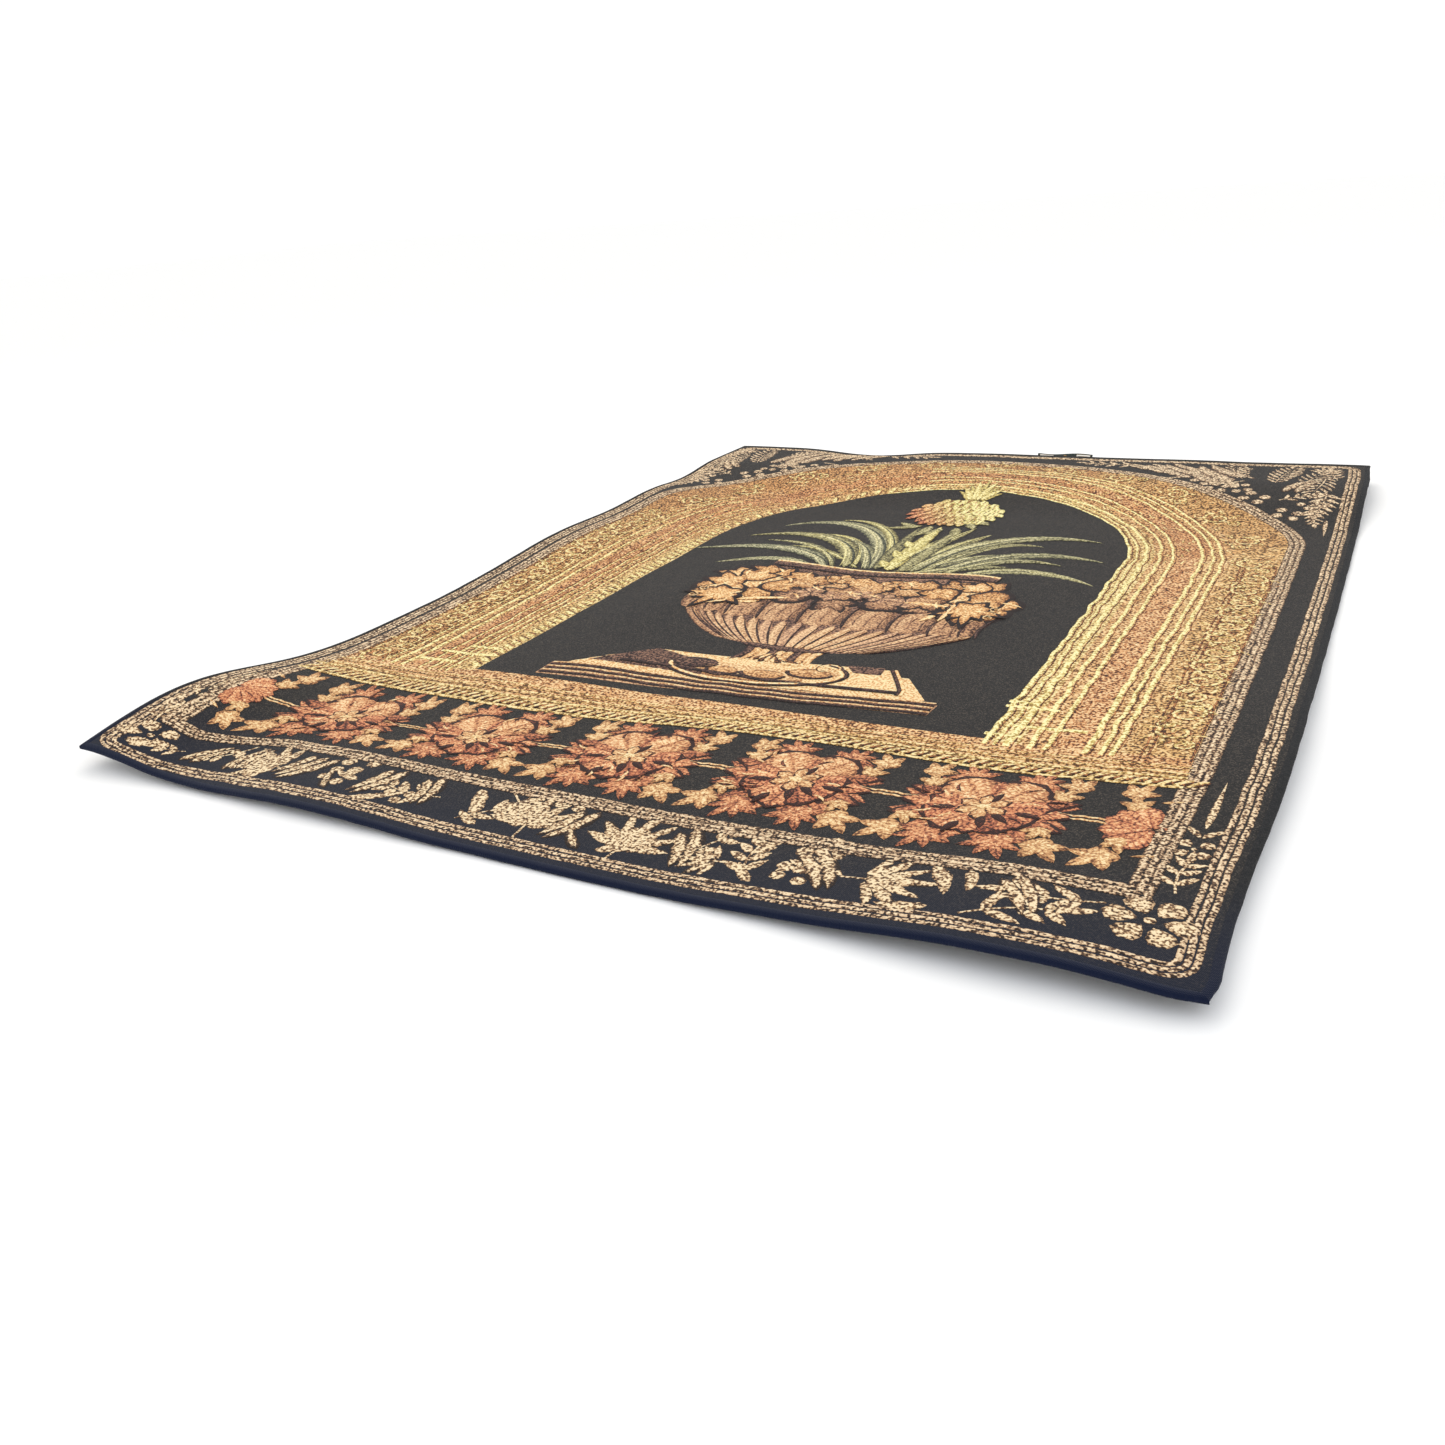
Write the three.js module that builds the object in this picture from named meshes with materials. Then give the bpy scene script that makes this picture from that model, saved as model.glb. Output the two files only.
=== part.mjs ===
// A lined, hemmed tapestry wall hanging, lying face up on a flat surface.
// Millimetres. +X is to the right, +Y is towards the top edge, +Z is up through the woven face.
import * as THREE from 'three';

// Overall cloth
const hangingWidth = 990;
const hangingHeight = 1330;
const meshCell = 68;

// Thicknesses of the cloth layers, and the clearance left between touching pieces
const faceThickness = 1.2;
const liningThickness = 0.8;
const clearance = 0.3;

// Turned-back margins of the face and the inset of the lining from the edge
const hemWidth = 28;
const liningInset = 8;
const mitreGap = 0.4;

// Sewing thread laid as a flattened run
const threadWidth = 0.8;
const threadThickness = 0.6;
const hemThreadFromEdge = 4;

// Rod sleeve across the back
const sleeveFromTopEdge = 45;
const sleeveFromSideEdge = 15;
const sleeveWall = 1;
const rodSpaceWidth = 50;
const seamAllowance = 10;
const sleeveSeamInset = 5;

// Woven label behind the top edge
const labelWidth = 85;
const labelLength = 26;
const labelThickness = 0.6;
const labelFromCentre = 68;
const labelPeek = 11;
const labelSeamGap = 1;

// The cloth lies level over the open sleeve, ramps down in front of it, and sinks a little
// at one place behind it
const floorClearance = 0.2;
const rodSpaceDepth = 18.5;
const rampLength = 190;
const edgeDip = { across: -0.5, depth: 9, spread: 85, run: 30 };

// Soft rises where the cloth does not lie flat. Places are shares of the half width and the
// half height from the centre. Rise and spreads are in millimetres.
const rises = [
  { across: -1, along: -0.84, rise: 32, spreadX: 90, spreadY: 140 },
  { across: -1, along: 0.16, rise: 17, spreadX: 140, spreadY: 170 },
  { across: -1, along: 0.54, rise: 16, spreadX: 150, spreadY: 120 },
  { across: 0.78, along: -1, rise: 15, spreadX: 150, spreadY: 170 },
  { across: -0.45, along: -1, rise: 6, spreadX: 110, spreadY: 120 },
  { across: 1, along: -0.45, rise: 12, spreadX: 150, spreadY: 230 },
  { across: -0.42, along: -0.2, rise: 5, spreadX: 80, spreadY: 300 },
  { across: 0.32, along: 0.38, rise: 4, spreadX: 90, spreadY: 240 },
];

const halfWidth = hangingWidth / 2;
const halfHeight = hangingHeight / 2;
const sleeveBack = halfHeight - sleeveFromTopEdge;
const sleeveFront = sleeveBack - rodSpaceWidth - 2 * sleeveWall - 2 * seamAllowance;
const sleeveRise = clearance + sleeveWall + rodSpaceDepth + clearance;
const labelHinge = halfHeight + labelPeek - labelLength;

function smoothStep(t) {
  const s = Math.min(Math.max(t, 0), 1);
  return s * s * (3 - 2 * s);
}

// Height of the hanging's underside anywhere
function undersideHeight(x, y) {
  let height = floorClearance;
  for (const lump of rises) {
    const dx = (x - lump.across * halfWidth) / lump.spreadX;
    const dy = (y - lump.along * halfHeight) / lump.spreadY;
    height += lump.rise * Math.exp(-dx * dx - dy * dy);
  }
  const away = (x - edgeDip.across * halfWidth) / edgeDip.spread;
  const sink = edgeDip.depth * Math.exp(-away * away) * smoothStep((y - sleeveBack) / edgeDip.run);
  const share = smoothStep((y - sleeveFront + rampLength) / rampLength);
  return height + (sleeveRise - sink - height) * share;
}

// Fold lines shared by all the layers, so that layers never cross between them
function foldLines(stops) {
  const lines = [];
  const sorted = [...stops].sort((a, b) => a - b);
  for (let i = 0; i + 1 < sorted.length; i++) {
    const steps = Math.max(1, Math.round((sorted[i + 1] - sorted[i]) / meshCell));
    for (let k = 0; k < steps; k++) {
      lines.push(sorted[i] + ((sorted[i + 1] - sorted[i]) * k) / steps);
    }
  }
  lines.push(sorted[sorted.length - 1]);
  return lines;
}

const edgeInsets = [0, liningInset, hemWidth];
const linesX = foldLines(edgeInsets.flatMap((d) => [d - halfWidth, halfWidth - d]));
const linesY = foldLines([
  ...edgeInsets.flatMap((d) => [d - halfHeight, halfHeight - d]),
  sleeveFront,
  sleeveBack,
]);

function linesBetween(lines, low, high) {
  const tiny = 1e-6;
  return [low, ...lines.filter((v) => v > low + tiny && v < high - tiny), high];
}

function makeMesh(name, positions, indices, colour, roughness) {
  const geometry = new THREE.BufferGeometry();
  geometry.setAttribute('position', new THREE.Float32BufferAttribute(positions, 3));
  geometry.setIndex(indices);
  geometry.computeVertexNormals();
  const material = new THREE.MeshStandardMaterial({ color: colour, roughness, metalness: 0 });
  const mesh = new THREE.Mesh(geometry, material);
  mesh.name = name;
  return mesh;
}

// A closed piece of cloth that follows the hanging between two heights over its underside
function clothPiece(name, box, layer, colour, roughness = 0.95) {
  const xs = linesBetween(linesX, box.left, box.right);
  const ys = linesBetween(linesY, box.front, box.back);
  const positions = [];
  const indices = [];
  for (const y of ys) {
    for (const x of xs) {
      const height = undersideHeight(x, y);
      positions.push(x, y, height + layer.low, x, y, height + layer.high);
    }
  }
  const low = (i, j) => 2 * (j * xs.length + i);
  const high = (i, j) => low(i, j) + 1;
  const quad = (a, b, c, d) => indices.push(a, b, c, a, c, d);
  for (let j = 0; j + 1 < ys.length; j++) {
    for (let i = 0; i + 1 < xs.length; i++) {
      quad(high(i, j), high(i + 1, j), high(i + 1, j + 1), high(i, j + 1));
      indices.push(low(i, j), low(i + 1, j + 1), low(i + 1, j));
      indices.push(low(i, j), low(i, j + 1), low(i + 1, j + 1));
    }
  }
  const lastX = xs.length - 1;
  const lastY = ys.length - 1;
  for (let i = 0; i < lastX; i++) {
    quad(low(i, 0), low(i + 1, 0), high(i + 1, 0), high(i, 0));
    quad(low(i + 1, lastY), low(i, lastY), high(i, lastY), high(i + 1, lastY));
  }
  for (let j = 0; j < lastY; j++) {
    quad(low(0, j + 1), low(0, j), high(0, j), high(0, j + 1));
    quad(low(lastX, j), low(lastX, j + 1), high(lastX, j + 1), high(lastX, j));
  }
  return makeMesh(name, positions, indices, colour, roughness);
}

// Layers counted up from the underside
const liningLayer = { low: 0, high: liningThickness };
const hemLow = liningLayer.high + clearance;
const hemLayer = { low: hemLow, high: hemLow + faceThickness };
const faceLow = hemLayer.high + clearance;
const faceLayer = { low: faceLow, high: faceLow + faceThickness };
const hemThreadHigh = hemLayer.low - clearance;
const hemThreadLayer = { low: hemThreadHigh - threadThickness, high: hemThreadHigh };
const seamThreadHigh = -clearance - sleeveWall - clearance;
const seamThreadLayer = { low: seamThreadHigh - threadThickness, high: seamThreadHigh };

const groundColour = 0x2f2d2c;
const hemColour = 0x272a33;
const liningColour = 0x1f1f22;
const threadColour = 0x3a3836;
const labelColour = 0x2a3034;

function wovenFace() {
  const box = { left: -halfWidth, right: halfWidth, front: -halfHeight, back: halfHeight };
  return clothPiece('woven_face', box, faceLayer, groundColour);
}

function hems() {
  const innerX = halfWidth - hemWidth;
  const innerY = halfHeight - hemWidth;
  const sideEnd = innerY - mitreGap;
  const boxes = {
    hem_bottom: { left: -halfWidth, right: halfWidth, front: -halfHeight, back: -innerY },
    hem_top: { left: -halfWidth, right: halfWidth, front: innerY, back: halfHeight },
    hem_left: { left: -halfWidth, right: -innerX, front: -sideEnd, back: sideEnd },
    hem_right: { left: innerX, right: halfWidth, front: -sideEnd, back: sideEnd },
  };
  return Object.entries(boxes).map(([name, box]) => clothPiece(name, box, hemLayer, hemColour));
}

function backingLining() {
  const x = halfWidth - liningInset;
  const y = halfHeight - liningInset;
  const box = { left: -x, right: x, front: -y, back: y };
  return clothPiece('backing_lining', box, liningLayer, liningColour);
}

// One run of thread along each edge, between the edge and the lining
function hemStitching() {
  const outerX = halfWidth - hemThreadFromEdge;
  const outerY = halfHeight - hemThreadFromEdge;
  const innerX = outerX - threadWidth;
  const innerY = outerY - threadWidth;
  const sideEnd = innerY - mitreGap;
  const boxes = {
    hem_stitching_bottom: { left: -outerX, right: outerX, front: -outerY, back: -innerY },
    hem_stitching_top: { left: -outerX, right: outerX, front: innerY, back: outerY },
    hem_stitching_left: { left: -outerX, right: -innerX, front: -sideEnd, back: sideEnd },
    hem_stitching_right: { left: innerX, right: outerX, front: -sideEnd, back: sideEnd },
  };
  return Object.entries(boxes).map(
    ([name, box]) => clothPiece(name, box, hemThreadLayer, threadColour, 0.8),
  );
}

// The sleeve is a flat back panel and two upright walls, each with a sewn flange at its top.
// The lining closes it on the fourth side, and both ends are open.
function rodSleeve() {
  const length = hangingWidth - 2 * sleeveFromSideEdge;
  const tubeFront = sleeveFront + seamAllowance;
  const tubeBack = sleeveBack - seamAllowance;
  const wallLow = sleeveWall + clearance;
  const wallHigh = sleeveRise - clearance;
  const prism = (name, outline) => {
    const shape = new THREE.Shape(outline.map(([y, z]) => new THREE.Vector2(y, z)));
    const geometry = new THREE.ExtrudeGeometry(shape, { depth: length, bevelEnabled: false });
    // The outline is drawn in Y and Z, and the extrusion is turned to run along X
    geometry.applyMatrix4(new THREE.Matrix4().set(0, 0, 1, -length / 2, 1, 0, 0, 0, 0, 1, 0, 0, 0, 0, 0, 1));
    const material = new THREE.MeshStandardMaterial({ color: liningColour, roughness: 0.95 });
    const mesh = new THREE.Mesh(geometry, material);
    mesh.name = name;
    return mesh;
  };
  const wallOutline = (inside, outside, flangeEnd) => [
    [inside, wallLow],
    [outside, wallLow],
    [outside, wallHigh - sleeveWall],
    [flangeEnd, wallHigh - sleeveWall],
    [flangeEnd, wallHigh],
    [inside, wallHigh],
  ];
  return [
    prism('sleeve_back_panel', [
      [tubeFront, 0],
      [tubeBack, 0],
      [tubeBack, sleeveWall],
      [tubeFront, sleeveWall],
    ]),
    prism('sleeve_lower_wall', wallOutline(tubeFront + sleeveWall, tubeFront, sleeveFront)),
    prism('sleeve_upper_wall', wallOutline(tubeBack - sleeveWall, tubeBack, sleeveBack)),
  ];
}

function sleeveSeams() {
  const end = halfWidth - sleeveFromSideEdge - sleeveSeamInset;
  const front = sleeveFront + sleeveSeamInset;
  const back = sleeveBack - sleeveSeamInset;
  const lower = { left: -end, right: end, front, back: front + threadWidth };
  const upper = { left: -end, right: end, front: back - threadWidth, back };
  return [
    clothPiece('sleeve_seam_lower', lower, seamThreadLayer, threadColour, 0.8),
    clothPiece('sleeve_seam_upper', upper, seamThreadLayer, threadColour, 0.8),
  ];
}

// The label hangs from its sewn inner edge and passes behind the top edge of the cloth
function label() {
  const top = sleeveRise - clearance;
  const geometry = new THREE.BoxGeometry(labelWidth, labelLength, labelThickness);
  const material = new THREE.MeshStandardMaterial({ color: labelColour, roughness: 0.8 });
  const mesh = new THREE.Mesh(geometry, material);
  mesh.name = 'maker_label';
  mesh.position.set(labelFromCentre, labelHinge + labelLength / 2, top - labelThickness / 2);
  return mesh;
}

function labelStitching() {
  const top = sleeveRise - clearance;
  const geometry = new THREE.BoxGeometry(labelWidth, threadWidth, threadThickness);
  const material = new THREE.MeshStandardMaterial({ color: threadColour, roughness: 0.8 });
  const mesh = new THREE.Mesh(geometry, material);
  mesh.name = 'label_stitching';
  const y = labelHinge - labelSeamGap - threadWidth / 2;
  mesh.position.set(labelFromCentre, y, top - threadThickness / 2);
  return mesh;
}

// The origin is under the centre of the whole piece, with the label's peek counted in
const wallHanging = new THREE.Group();
wallHanging.position.y = -labelPeek / 2;
wallHanging.add(
  wovenFace(),
  ...hems(),
  backingLining(),
  ...hemStitching(),
  ...rodSleeve(),
  ...sleeveSeams(),
  label(),
  labelStitching(),
);

export default wallHanging;
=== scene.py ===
import bpy
import random
from math import sin, cos, pi, exp, atan2, hypot, radians, sqrt
from mathutils import Matrix, Vector, noise


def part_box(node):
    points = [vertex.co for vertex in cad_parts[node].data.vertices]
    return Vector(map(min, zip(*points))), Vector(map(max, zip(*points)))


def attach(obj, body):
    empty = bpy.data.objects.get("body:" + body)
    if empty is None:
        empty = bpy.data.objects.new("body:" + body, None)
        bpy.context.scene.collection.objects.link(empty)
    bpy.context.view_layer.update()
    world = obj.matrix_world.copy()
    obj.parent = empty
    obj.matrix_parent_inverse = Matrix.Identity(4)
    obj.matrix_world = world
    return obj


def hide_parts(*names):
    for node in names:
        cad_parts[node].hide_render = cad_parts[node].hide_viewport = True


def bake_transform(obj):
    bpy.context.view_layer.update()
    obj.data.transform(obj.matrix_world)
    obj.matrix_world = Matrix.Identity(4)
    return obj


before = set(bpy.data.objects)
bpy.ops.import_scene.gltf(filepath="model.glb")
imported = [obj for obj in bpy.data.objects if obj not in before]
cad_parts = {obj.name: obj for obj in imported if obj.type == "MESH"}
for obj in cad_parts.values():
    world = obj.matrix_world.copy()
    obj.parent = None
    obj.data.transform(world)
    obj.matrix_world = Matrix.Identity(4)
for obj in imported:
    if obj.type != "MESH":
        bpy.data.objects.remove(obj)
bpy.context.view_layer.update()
bpy.ops.object.select_all(action="DESELECT")

# Camera, floor and light
view = {
    "place": (0.5506, -1.2912, 0.4552), "nearest": 0.01,  # metres
    "turn": 30.2, "tilt": 66.55, "roll": -4.53,  # degrees
    "lens": 30.96, "sensor": 36,  # millimetres
}
light = {
    "floor": "fdfdfc", "floorSize": 30, "sky": "ffffff", "skyStrength": 1.02,
    # name, place, watts, size and colour
    "lamps": [("softbox", (-0.9, 1.0, 2.3), 16, 2.2, "fff6ea"), ("fill", (1.3, -1.6, 1.6), 5, 1.6, "c9dcff")],
}


def dyed(code):
    # an sRGB hex colour as linear numbers with full opacity
    parts = [int(code[i:i + 2], 16) / 255 for i in (0, 2, 4)]
    return [c / 12.92 if c <= 0.04045 else ((c + 0.055) / 1.055) ** 2.4 for c in parts] + [1.0]


def addNode(tree, kind, inputs=None, out=0, ramp=None, **settings):
    # one node with its settings; an input is a value or another node's output
    node = tree.nodes.new("ShaderNode" + kind)
    for name, value in settings.items():
        setattr(node, name, value)
    for key, value in (inputs or {}).items():
        if isinstance(value, bpy.types.NodeSocket):
            tree.links.new(value, node.inputs[key])
        else:
            node.inputs[key].default_value = value
    if ramp:
        stops = node.color_ramp.elements
        while len(stops) < len(ramp):
            stops.new(1.0)
        for stop, (place, colour) in zip(stops, ramp):
            stop.position = place
            stop.color = dyed(colour)
    return node.outputs[out] if len(node.outputs) else node


def reckon(tree, operation, *values):
    return addNode(tree, "Math", dict(enumerate(values)), operation=operation)


def ranged(tree, value, low, high, first=0.0, last=1.0):
    return addNode(tree, "MapRange", {"Value": value, "From Min": low, "From Max": high, "To Min": first,
                                      "To Max": last})


def weighed(tree, values, weights):
    # the sum of two or three values, each times its weight
    joined = addNode(tree, "CombineXYZ", dict(enumerate(values)))
    return addNode(tree, "VectorMath", {0: joined, 1: weights}, out=1, operation="DOT_PRODUCT")


def newMaterial(name):
    material = bpy.data.materials.new(name)
    material.use_nodes = True
    material.node_tree.nodes.clear()
    return material, material.node_tree


def newObject(name, data):
    thing = bpy.data.objects.new(name, data)
    bpy.context.collection.objects.link(thing)
    return thing


def addCamera():
    data = bpy.data.cameras.new("camera")
    data.lens = view["lens"]
    data.sensor_width = view["sensor"]
    data.clip_start = view["nearest"]
    camera = newObject("camera", data)
    turned = Matrix.Rotation(radians(view["turn"]), 4, "Z")
    tilted = Matrix.Rotation(radians(view["tilt"]), 4, "X")
    rolled = Matrix.Rotation(radians(view["roll"]), 4, "Z")
    camera.matrix_world = Matrix.Translation(view["place"]) @ turned @ tilted @ rolled
    bpy.context.scene.camera = camera


def addAreaLight(name, place, watts, size, colour):
    data = bpy.data.lights.new(name, "AREA")
    data.energy = watts
    data.size = size
    data.color = dyed(colour)[:3]
    lamp = newObject(name, data)
    lamp.location = place
    lamp.rotation_euler = (Vector((0, 0, 0)) - Vector(place)).to_track_quat("-Z", "Y").to_euler()


def addStudio():
    bpy.ops.mesh.primitive_plane_add(size=light["floorSize"])
    floor = bpy.context.object
    floor.name = "floor"
    material, tree = newMaterial("matt_paper")
    shader = addNode(tree, "BsdfPrincipled", {"Base Color": dyed(light["floor"]), "Roughness": 0.9})
    addNode(tree, "OutputMaterial", {"Surface": shader})
    floor.data.materials.append(material)
    world = bpy.context.scene.world or bpy.data.worlds.new("world")
    bpy.context.scene.world = world
    world.use_nodes = True
    sky = world.node_tree.nodes["Background"]
    sky.inputs["Color"].default_value = dyed(light["sky"])
    sky.inputs["Strength"].default_value = light["skyStrength"]
    for lamp in light["lamps"]:
        addAreaLight(*lamp)
    bpy.context.scene.view_settings.view_transform = "Standard"


addCamera()
addStudio()
print("camera, floor and lights are in")

# How the cloth lies
# The cloth is drawn in millimetres: x from its middle, y up from its bottom edge.
faceLow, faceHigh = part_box("woven_face")
width = round((faceHigh[0] - faceLow[0]) * 1000, 3)
height = round((faceHigh[1] - faceLow[1]) * 1000, 3)
bottomEdge = faceLow[1] * 1000
cloth = {
    "floorGap": 0.2, "sleeveRise": 20.1, "sleeveFront": 548, "sleeveBack": 620, "ramp": 190,
    "dip": {"across": -0.5, "depth": 9, "spread": 85, "run": 30},
    # share of half width and half height, rise, spread along x, spread along y
    "rises": [
        (-1, -0.84, 32, 90, 140), (-1, 0.16, 17, 140, 170), (-1, 0.54, 16, 150, 120),
        (0.78, -1, 15, 150, 170), (-0.45, -1, 6, 110, 120), (1, -0.45, 12, 150, 230),
        (-0.42, -0.2, 5, 80, 300), (0.32, 0.38, 4, 90, 240),
    ],
    "pucker": 1.5, "puckerLength": 95,  # small soft ripples over the whole cloth
    # the right edge bows out, and in near the front corner, which is rounded
    "bow": 4.0, "pinch": 9.5, "pinchPlace": 85, "pinchSpread": 160, "tuck": 5.0, "tuckReach": 28,
    "faceTop": 3.8, "faceThickness": 1.2, "liningThickness": 0.8, "liningInset": 8,
}


def smoothStep(t):
    s = min(max(t, 0.0), 1.0)
    return s * s * (3 - 2 * s)


def clothUnderside(x, y):
    # height of the underside in millimetres
    along = y - height / 2
    total = cloth["floorGap"]
    for across, up, rise, spreadX, spreadY in cloth["rises"]:
        dx = (x - across * width / 2) / spreadX
        dy = (along - up * height / 2) / spreadY
        total += rise * exp(-dx * dx - dy * dy)
    dip = cloth["dip"]
    away = (x - dip["across"] * width / 2) / dip["spread"]
    sink = dip["depth"] * exp(-away * away) * smoothStep((along - cloth["sleeveBack"]) / dip["run"])
    share = smoothStep((along - cloth["sleeveFront"] + cloth["ramp"]) / cloth["ramp"])
    level = total + (cloth["sleeveRise"] - sink - total) * share
    length = cloth["puckerLength"]
    pucker = noise.noise(Vector((x / length, y / length / 1.4, 0.7)))
    return level + cloth["pucker"] * (0.5 + 0.7 * pucker)


def onCloth(x, y, lift=0.0):
    # a point of the drawing, at a height over the woven face, in metres in the model's frame
    edge = (x + width / 2) / width
    bow = cloth["bow"] - cloth["pinch"] * exp(-((y - cloth["pinchPlace"]) / cloth["pinchSpread"]) ** 2)
    fade = 1 - smoothStep((y - height + 90) / 90)
    up = clothUnderside(x, y) + cloth["faceTop"] + lift
    tuck = cloth["tuck"] * max(0, 1 - hypot(x - width / 2, y) / cloth["tuckReach"]) ** 2
    x, y = x - tuck, y + tuck
    return ((x + bow * edge * fade) / 1000, (y + bottomEdge) / 1000, up / 1000)


# Materials
threads = {
    "warp": 1.0, "weft": 0.8,  # thread spacing in millimetres
    "skyReflectionFrom": (-0.67, -0.53),  # where the painted blue sky reflection on the ground sets in towards the front edge, in metres
}
yarnLook = {
    # the real crossings are under a millimetre and wouldn't show, so they are drawn a little coarser
    "spread": 1.5,
    "blotch": 9, "knots": (0.4, 0.56),  # size of the blotches in millimetres, and how sharp the flecks are
    "rib": 0.16, "cut": 0.3, "veinDark": 0.36,  # widths of the middle rib and the side veins, and their depth
    "rim": (0.5, 0.88), "sideLight": 0.1,
}


def weave(tree, spread=1.0):
    # one random number for each thread crossing, and the relief of the crossings
    place = addNode(tree, "TexCoord", out="Object")
    pitch = (1000 / threads["warp"] / spread, 1000 / threads["weft"] / spread, 0)
    counted = addNode(tree, "VectorMath", {0: place, 1: pitch}, operation="MULTIPLY")
    cell = addNode(tree, "VectorMath", {0: counted}, operation="FLOOR")
    crossing = addNode(tree, "TexWhiteNoise", {"Vector": cell}, noise_dimensions="2D")
    turns = addNode(tree, "VectorMath", {0: counted, 1: (pi, pi, 0)}, operation="MULTIPLY")
    wave = addNode(tree, "VectorMath", {0: turns}, operation="SINE")
    warp, weft = addNode(tree, "SeparateXYZ", {0: wave}).node.outputs[:2]
    return place, crossing, reckon(tree, "MULTIPLY", warp, weft)


def finishCloth(tree, colour, relief, depth=0.00018, roughness=0.92, sheen=0.08):
    bump = addNode(tree, "Bump", {"Height": relief, "Distance": depth, "Strength": 0.8})
    inputs = {"Base Color": colour, "Roughness": roughness, "Normal": bump, "Sheen Weight": sheen,
              "Sheen Roughness": 0.5, "Specular IOR Level": 0.15}
    shader = addNode(tree, "BsdfPrincipled", inputs)
    addNode(tree, "OutputMaterial", {"Surface": shader})


def groundMaterial(name, ramp, skyReflectionShade, skyReflectionShare=0.8):
    # a plain weave of dark yarns with a few light flecks, with a painted blue sky reflection towards the
    # front edge
    material, tree = newMaterial(name)
    place, crossing, relief = weave(tree)
    yarn = addNode(tree, "ValToRGB", {"Fac": crossing}, ramp=ramp)
    forward = addNode(tree, "VectorMath", {0: place, 1: (0, 1, 0)}, out=1, operation="DOT_PRODUCT")
    # painted blue sky reflection: near the front edge the yarn colour is mixed towards a navy shade
    skyReflection = ranged(tree, forward, *threads["skyReflectionFrom"], skyReflectionShare, 0.0)
    skyReflectedYarn = addNode(tree, "Mix", {0: skyReflection, 6: yarn, 7: dyed(skyReflectionShade)}, out=2, data_type="RGBA")
    finishCloth(tree, skyReflectedYarn, relief)
    return material


charcoal = [(0.0, "191817"), (0.35, "211f1e"), (0.75, "2a2725"), (0.965, "50483f")]
# painted shade: the hem's yarn shades are darker than the face's charcoal, for the shade on the turned edge's
# front face
hemShadeBlack = [(0.0, "0c0d10"), (0.5, "131417"), (0.97, "2b2a29")]
plainBlack = [(0.0, "1b1b1d"), (0.5, "232325"), (0.9, "2c2c2e")]
# the navy passed to the ground and the hem is a painted blue sky reflection
wovenGround = groundMaterial("jacquard_ground", charcoal, "131b2e")
hemCloth = groundMaterial("turned_hem", hemShadeBlack, "0b1630", 0.9)
liningCloth = groundMaterial("cotton_lining", plainBlack, "1b1b1d", 0.0)


# Mesh helpers
def newPiece(name, points, faces, material, corners=None, dyes=None, smooth=40):
    mesh = bpy.data.meshes.new(name)
    mesh.from_pydata(points, [], faces)
    if corners:
        layer = mesh.uv_layers.new(name="flat")
        layer.data.foreach_set("uv", [c for loop in mesh.loops for c in corners[loop.vertex_index]])
    if dyes:
        tint = mesh.color_attributes.new("dye", "FLOAT_COLOR", "POINT")
        tint.data.foreach_set("color", [c for value in dyes for c in value])
    mesh.materials.append(material)
    piece = newObject(name, mesh)
    finishPiece(piece, smooth)
    return piece


def finishPiece(piece, smooth=40):
    bpy.ops.object.select_all(action="DESELECT")
    bpy.context.view_layer.objects.active = piece
    piece.select_set(True)
    bpy.ops.object.mode_set(mode="EDIT")
    bpy.ops.mesh.select_all(action="SELECT")
    bpy.ops.mesh.normals_make_consistent(inside=False)
    bpy.ops.object.mode_set(mode="OBJECT")
    bpy.ops.object.shade_smooth_by_angle(angle=radians(smooth))
    piece.select_set(False)


def applyModifier(piece, kind, **settings):
    bpy.context.view_layer.objects.active = piece
    modifier = piece.modifiers.new(kind.lower(), kind)
    for name, value in settings.items():
        setattr(modifier, name, value)
    bpy.ops.object.modifier_apply(modifier=modifier.name)


def clothGrid(name, left, right, front, back, cell, lift, thickness, material):
    # a grid laid over the hanging's shape, then thickened downwards
    columns = round((right - left) / cell)
    rows = round((back - front) / cell)
    bpy.ops.mesh.primitive_grid_add(x_subdivisions=columns, y_subdivisions=rows, size=1)
    piece = bpy.context.object
    piece.name = name
    for vertex in piece.data.vertices:
        x = left + (vertex.co.x + 0.5) * (right - left)
        y = front + (vertex.co.y + 0.5) * (back - front)
        vertex.co = onCloth(x, y, lift)
    piece.data.materials.append(material)
    applyModifier(piece, "SOLIDIFY", thickness=thickness / 1000, offset=-1)
    finishPiece(piece)
    return piece


# The woven face
face = {"cell": 7.5}


def addWovenFace():
    piece = clothGrid("face_cloth", -width / 2, width / 2, 0, height, face["cell"], 0,
                      cloth["faceThickness"], wovenGround)
    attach(piece, "hanging")
    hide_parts("woven_face")
    return piece


faceCloth = addWovenFace()
print("the face is laid")

# Hems
hem = {
    # outline of the fold in millimetres: in from the edge, and up from the hanging's underside
    "fold": [
        (27, 1.15), (3, 1.15), (0.4, 1.2), (-1.0, 1.7), (-1.6, 2.6), (-1.2, 3.6), (0.2, 4.25), (2.2, 4.45),
        (4.2, 4.3), (5.4, 3.75), (3.0, 3.5), (0.9, 3.3), (0.2, 2.7), (0.9, 2.3), (27, 2.3),
    ],
    "step": 9.0, "wobble": 0.5, "curlDown": 1.5,
}


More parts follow.
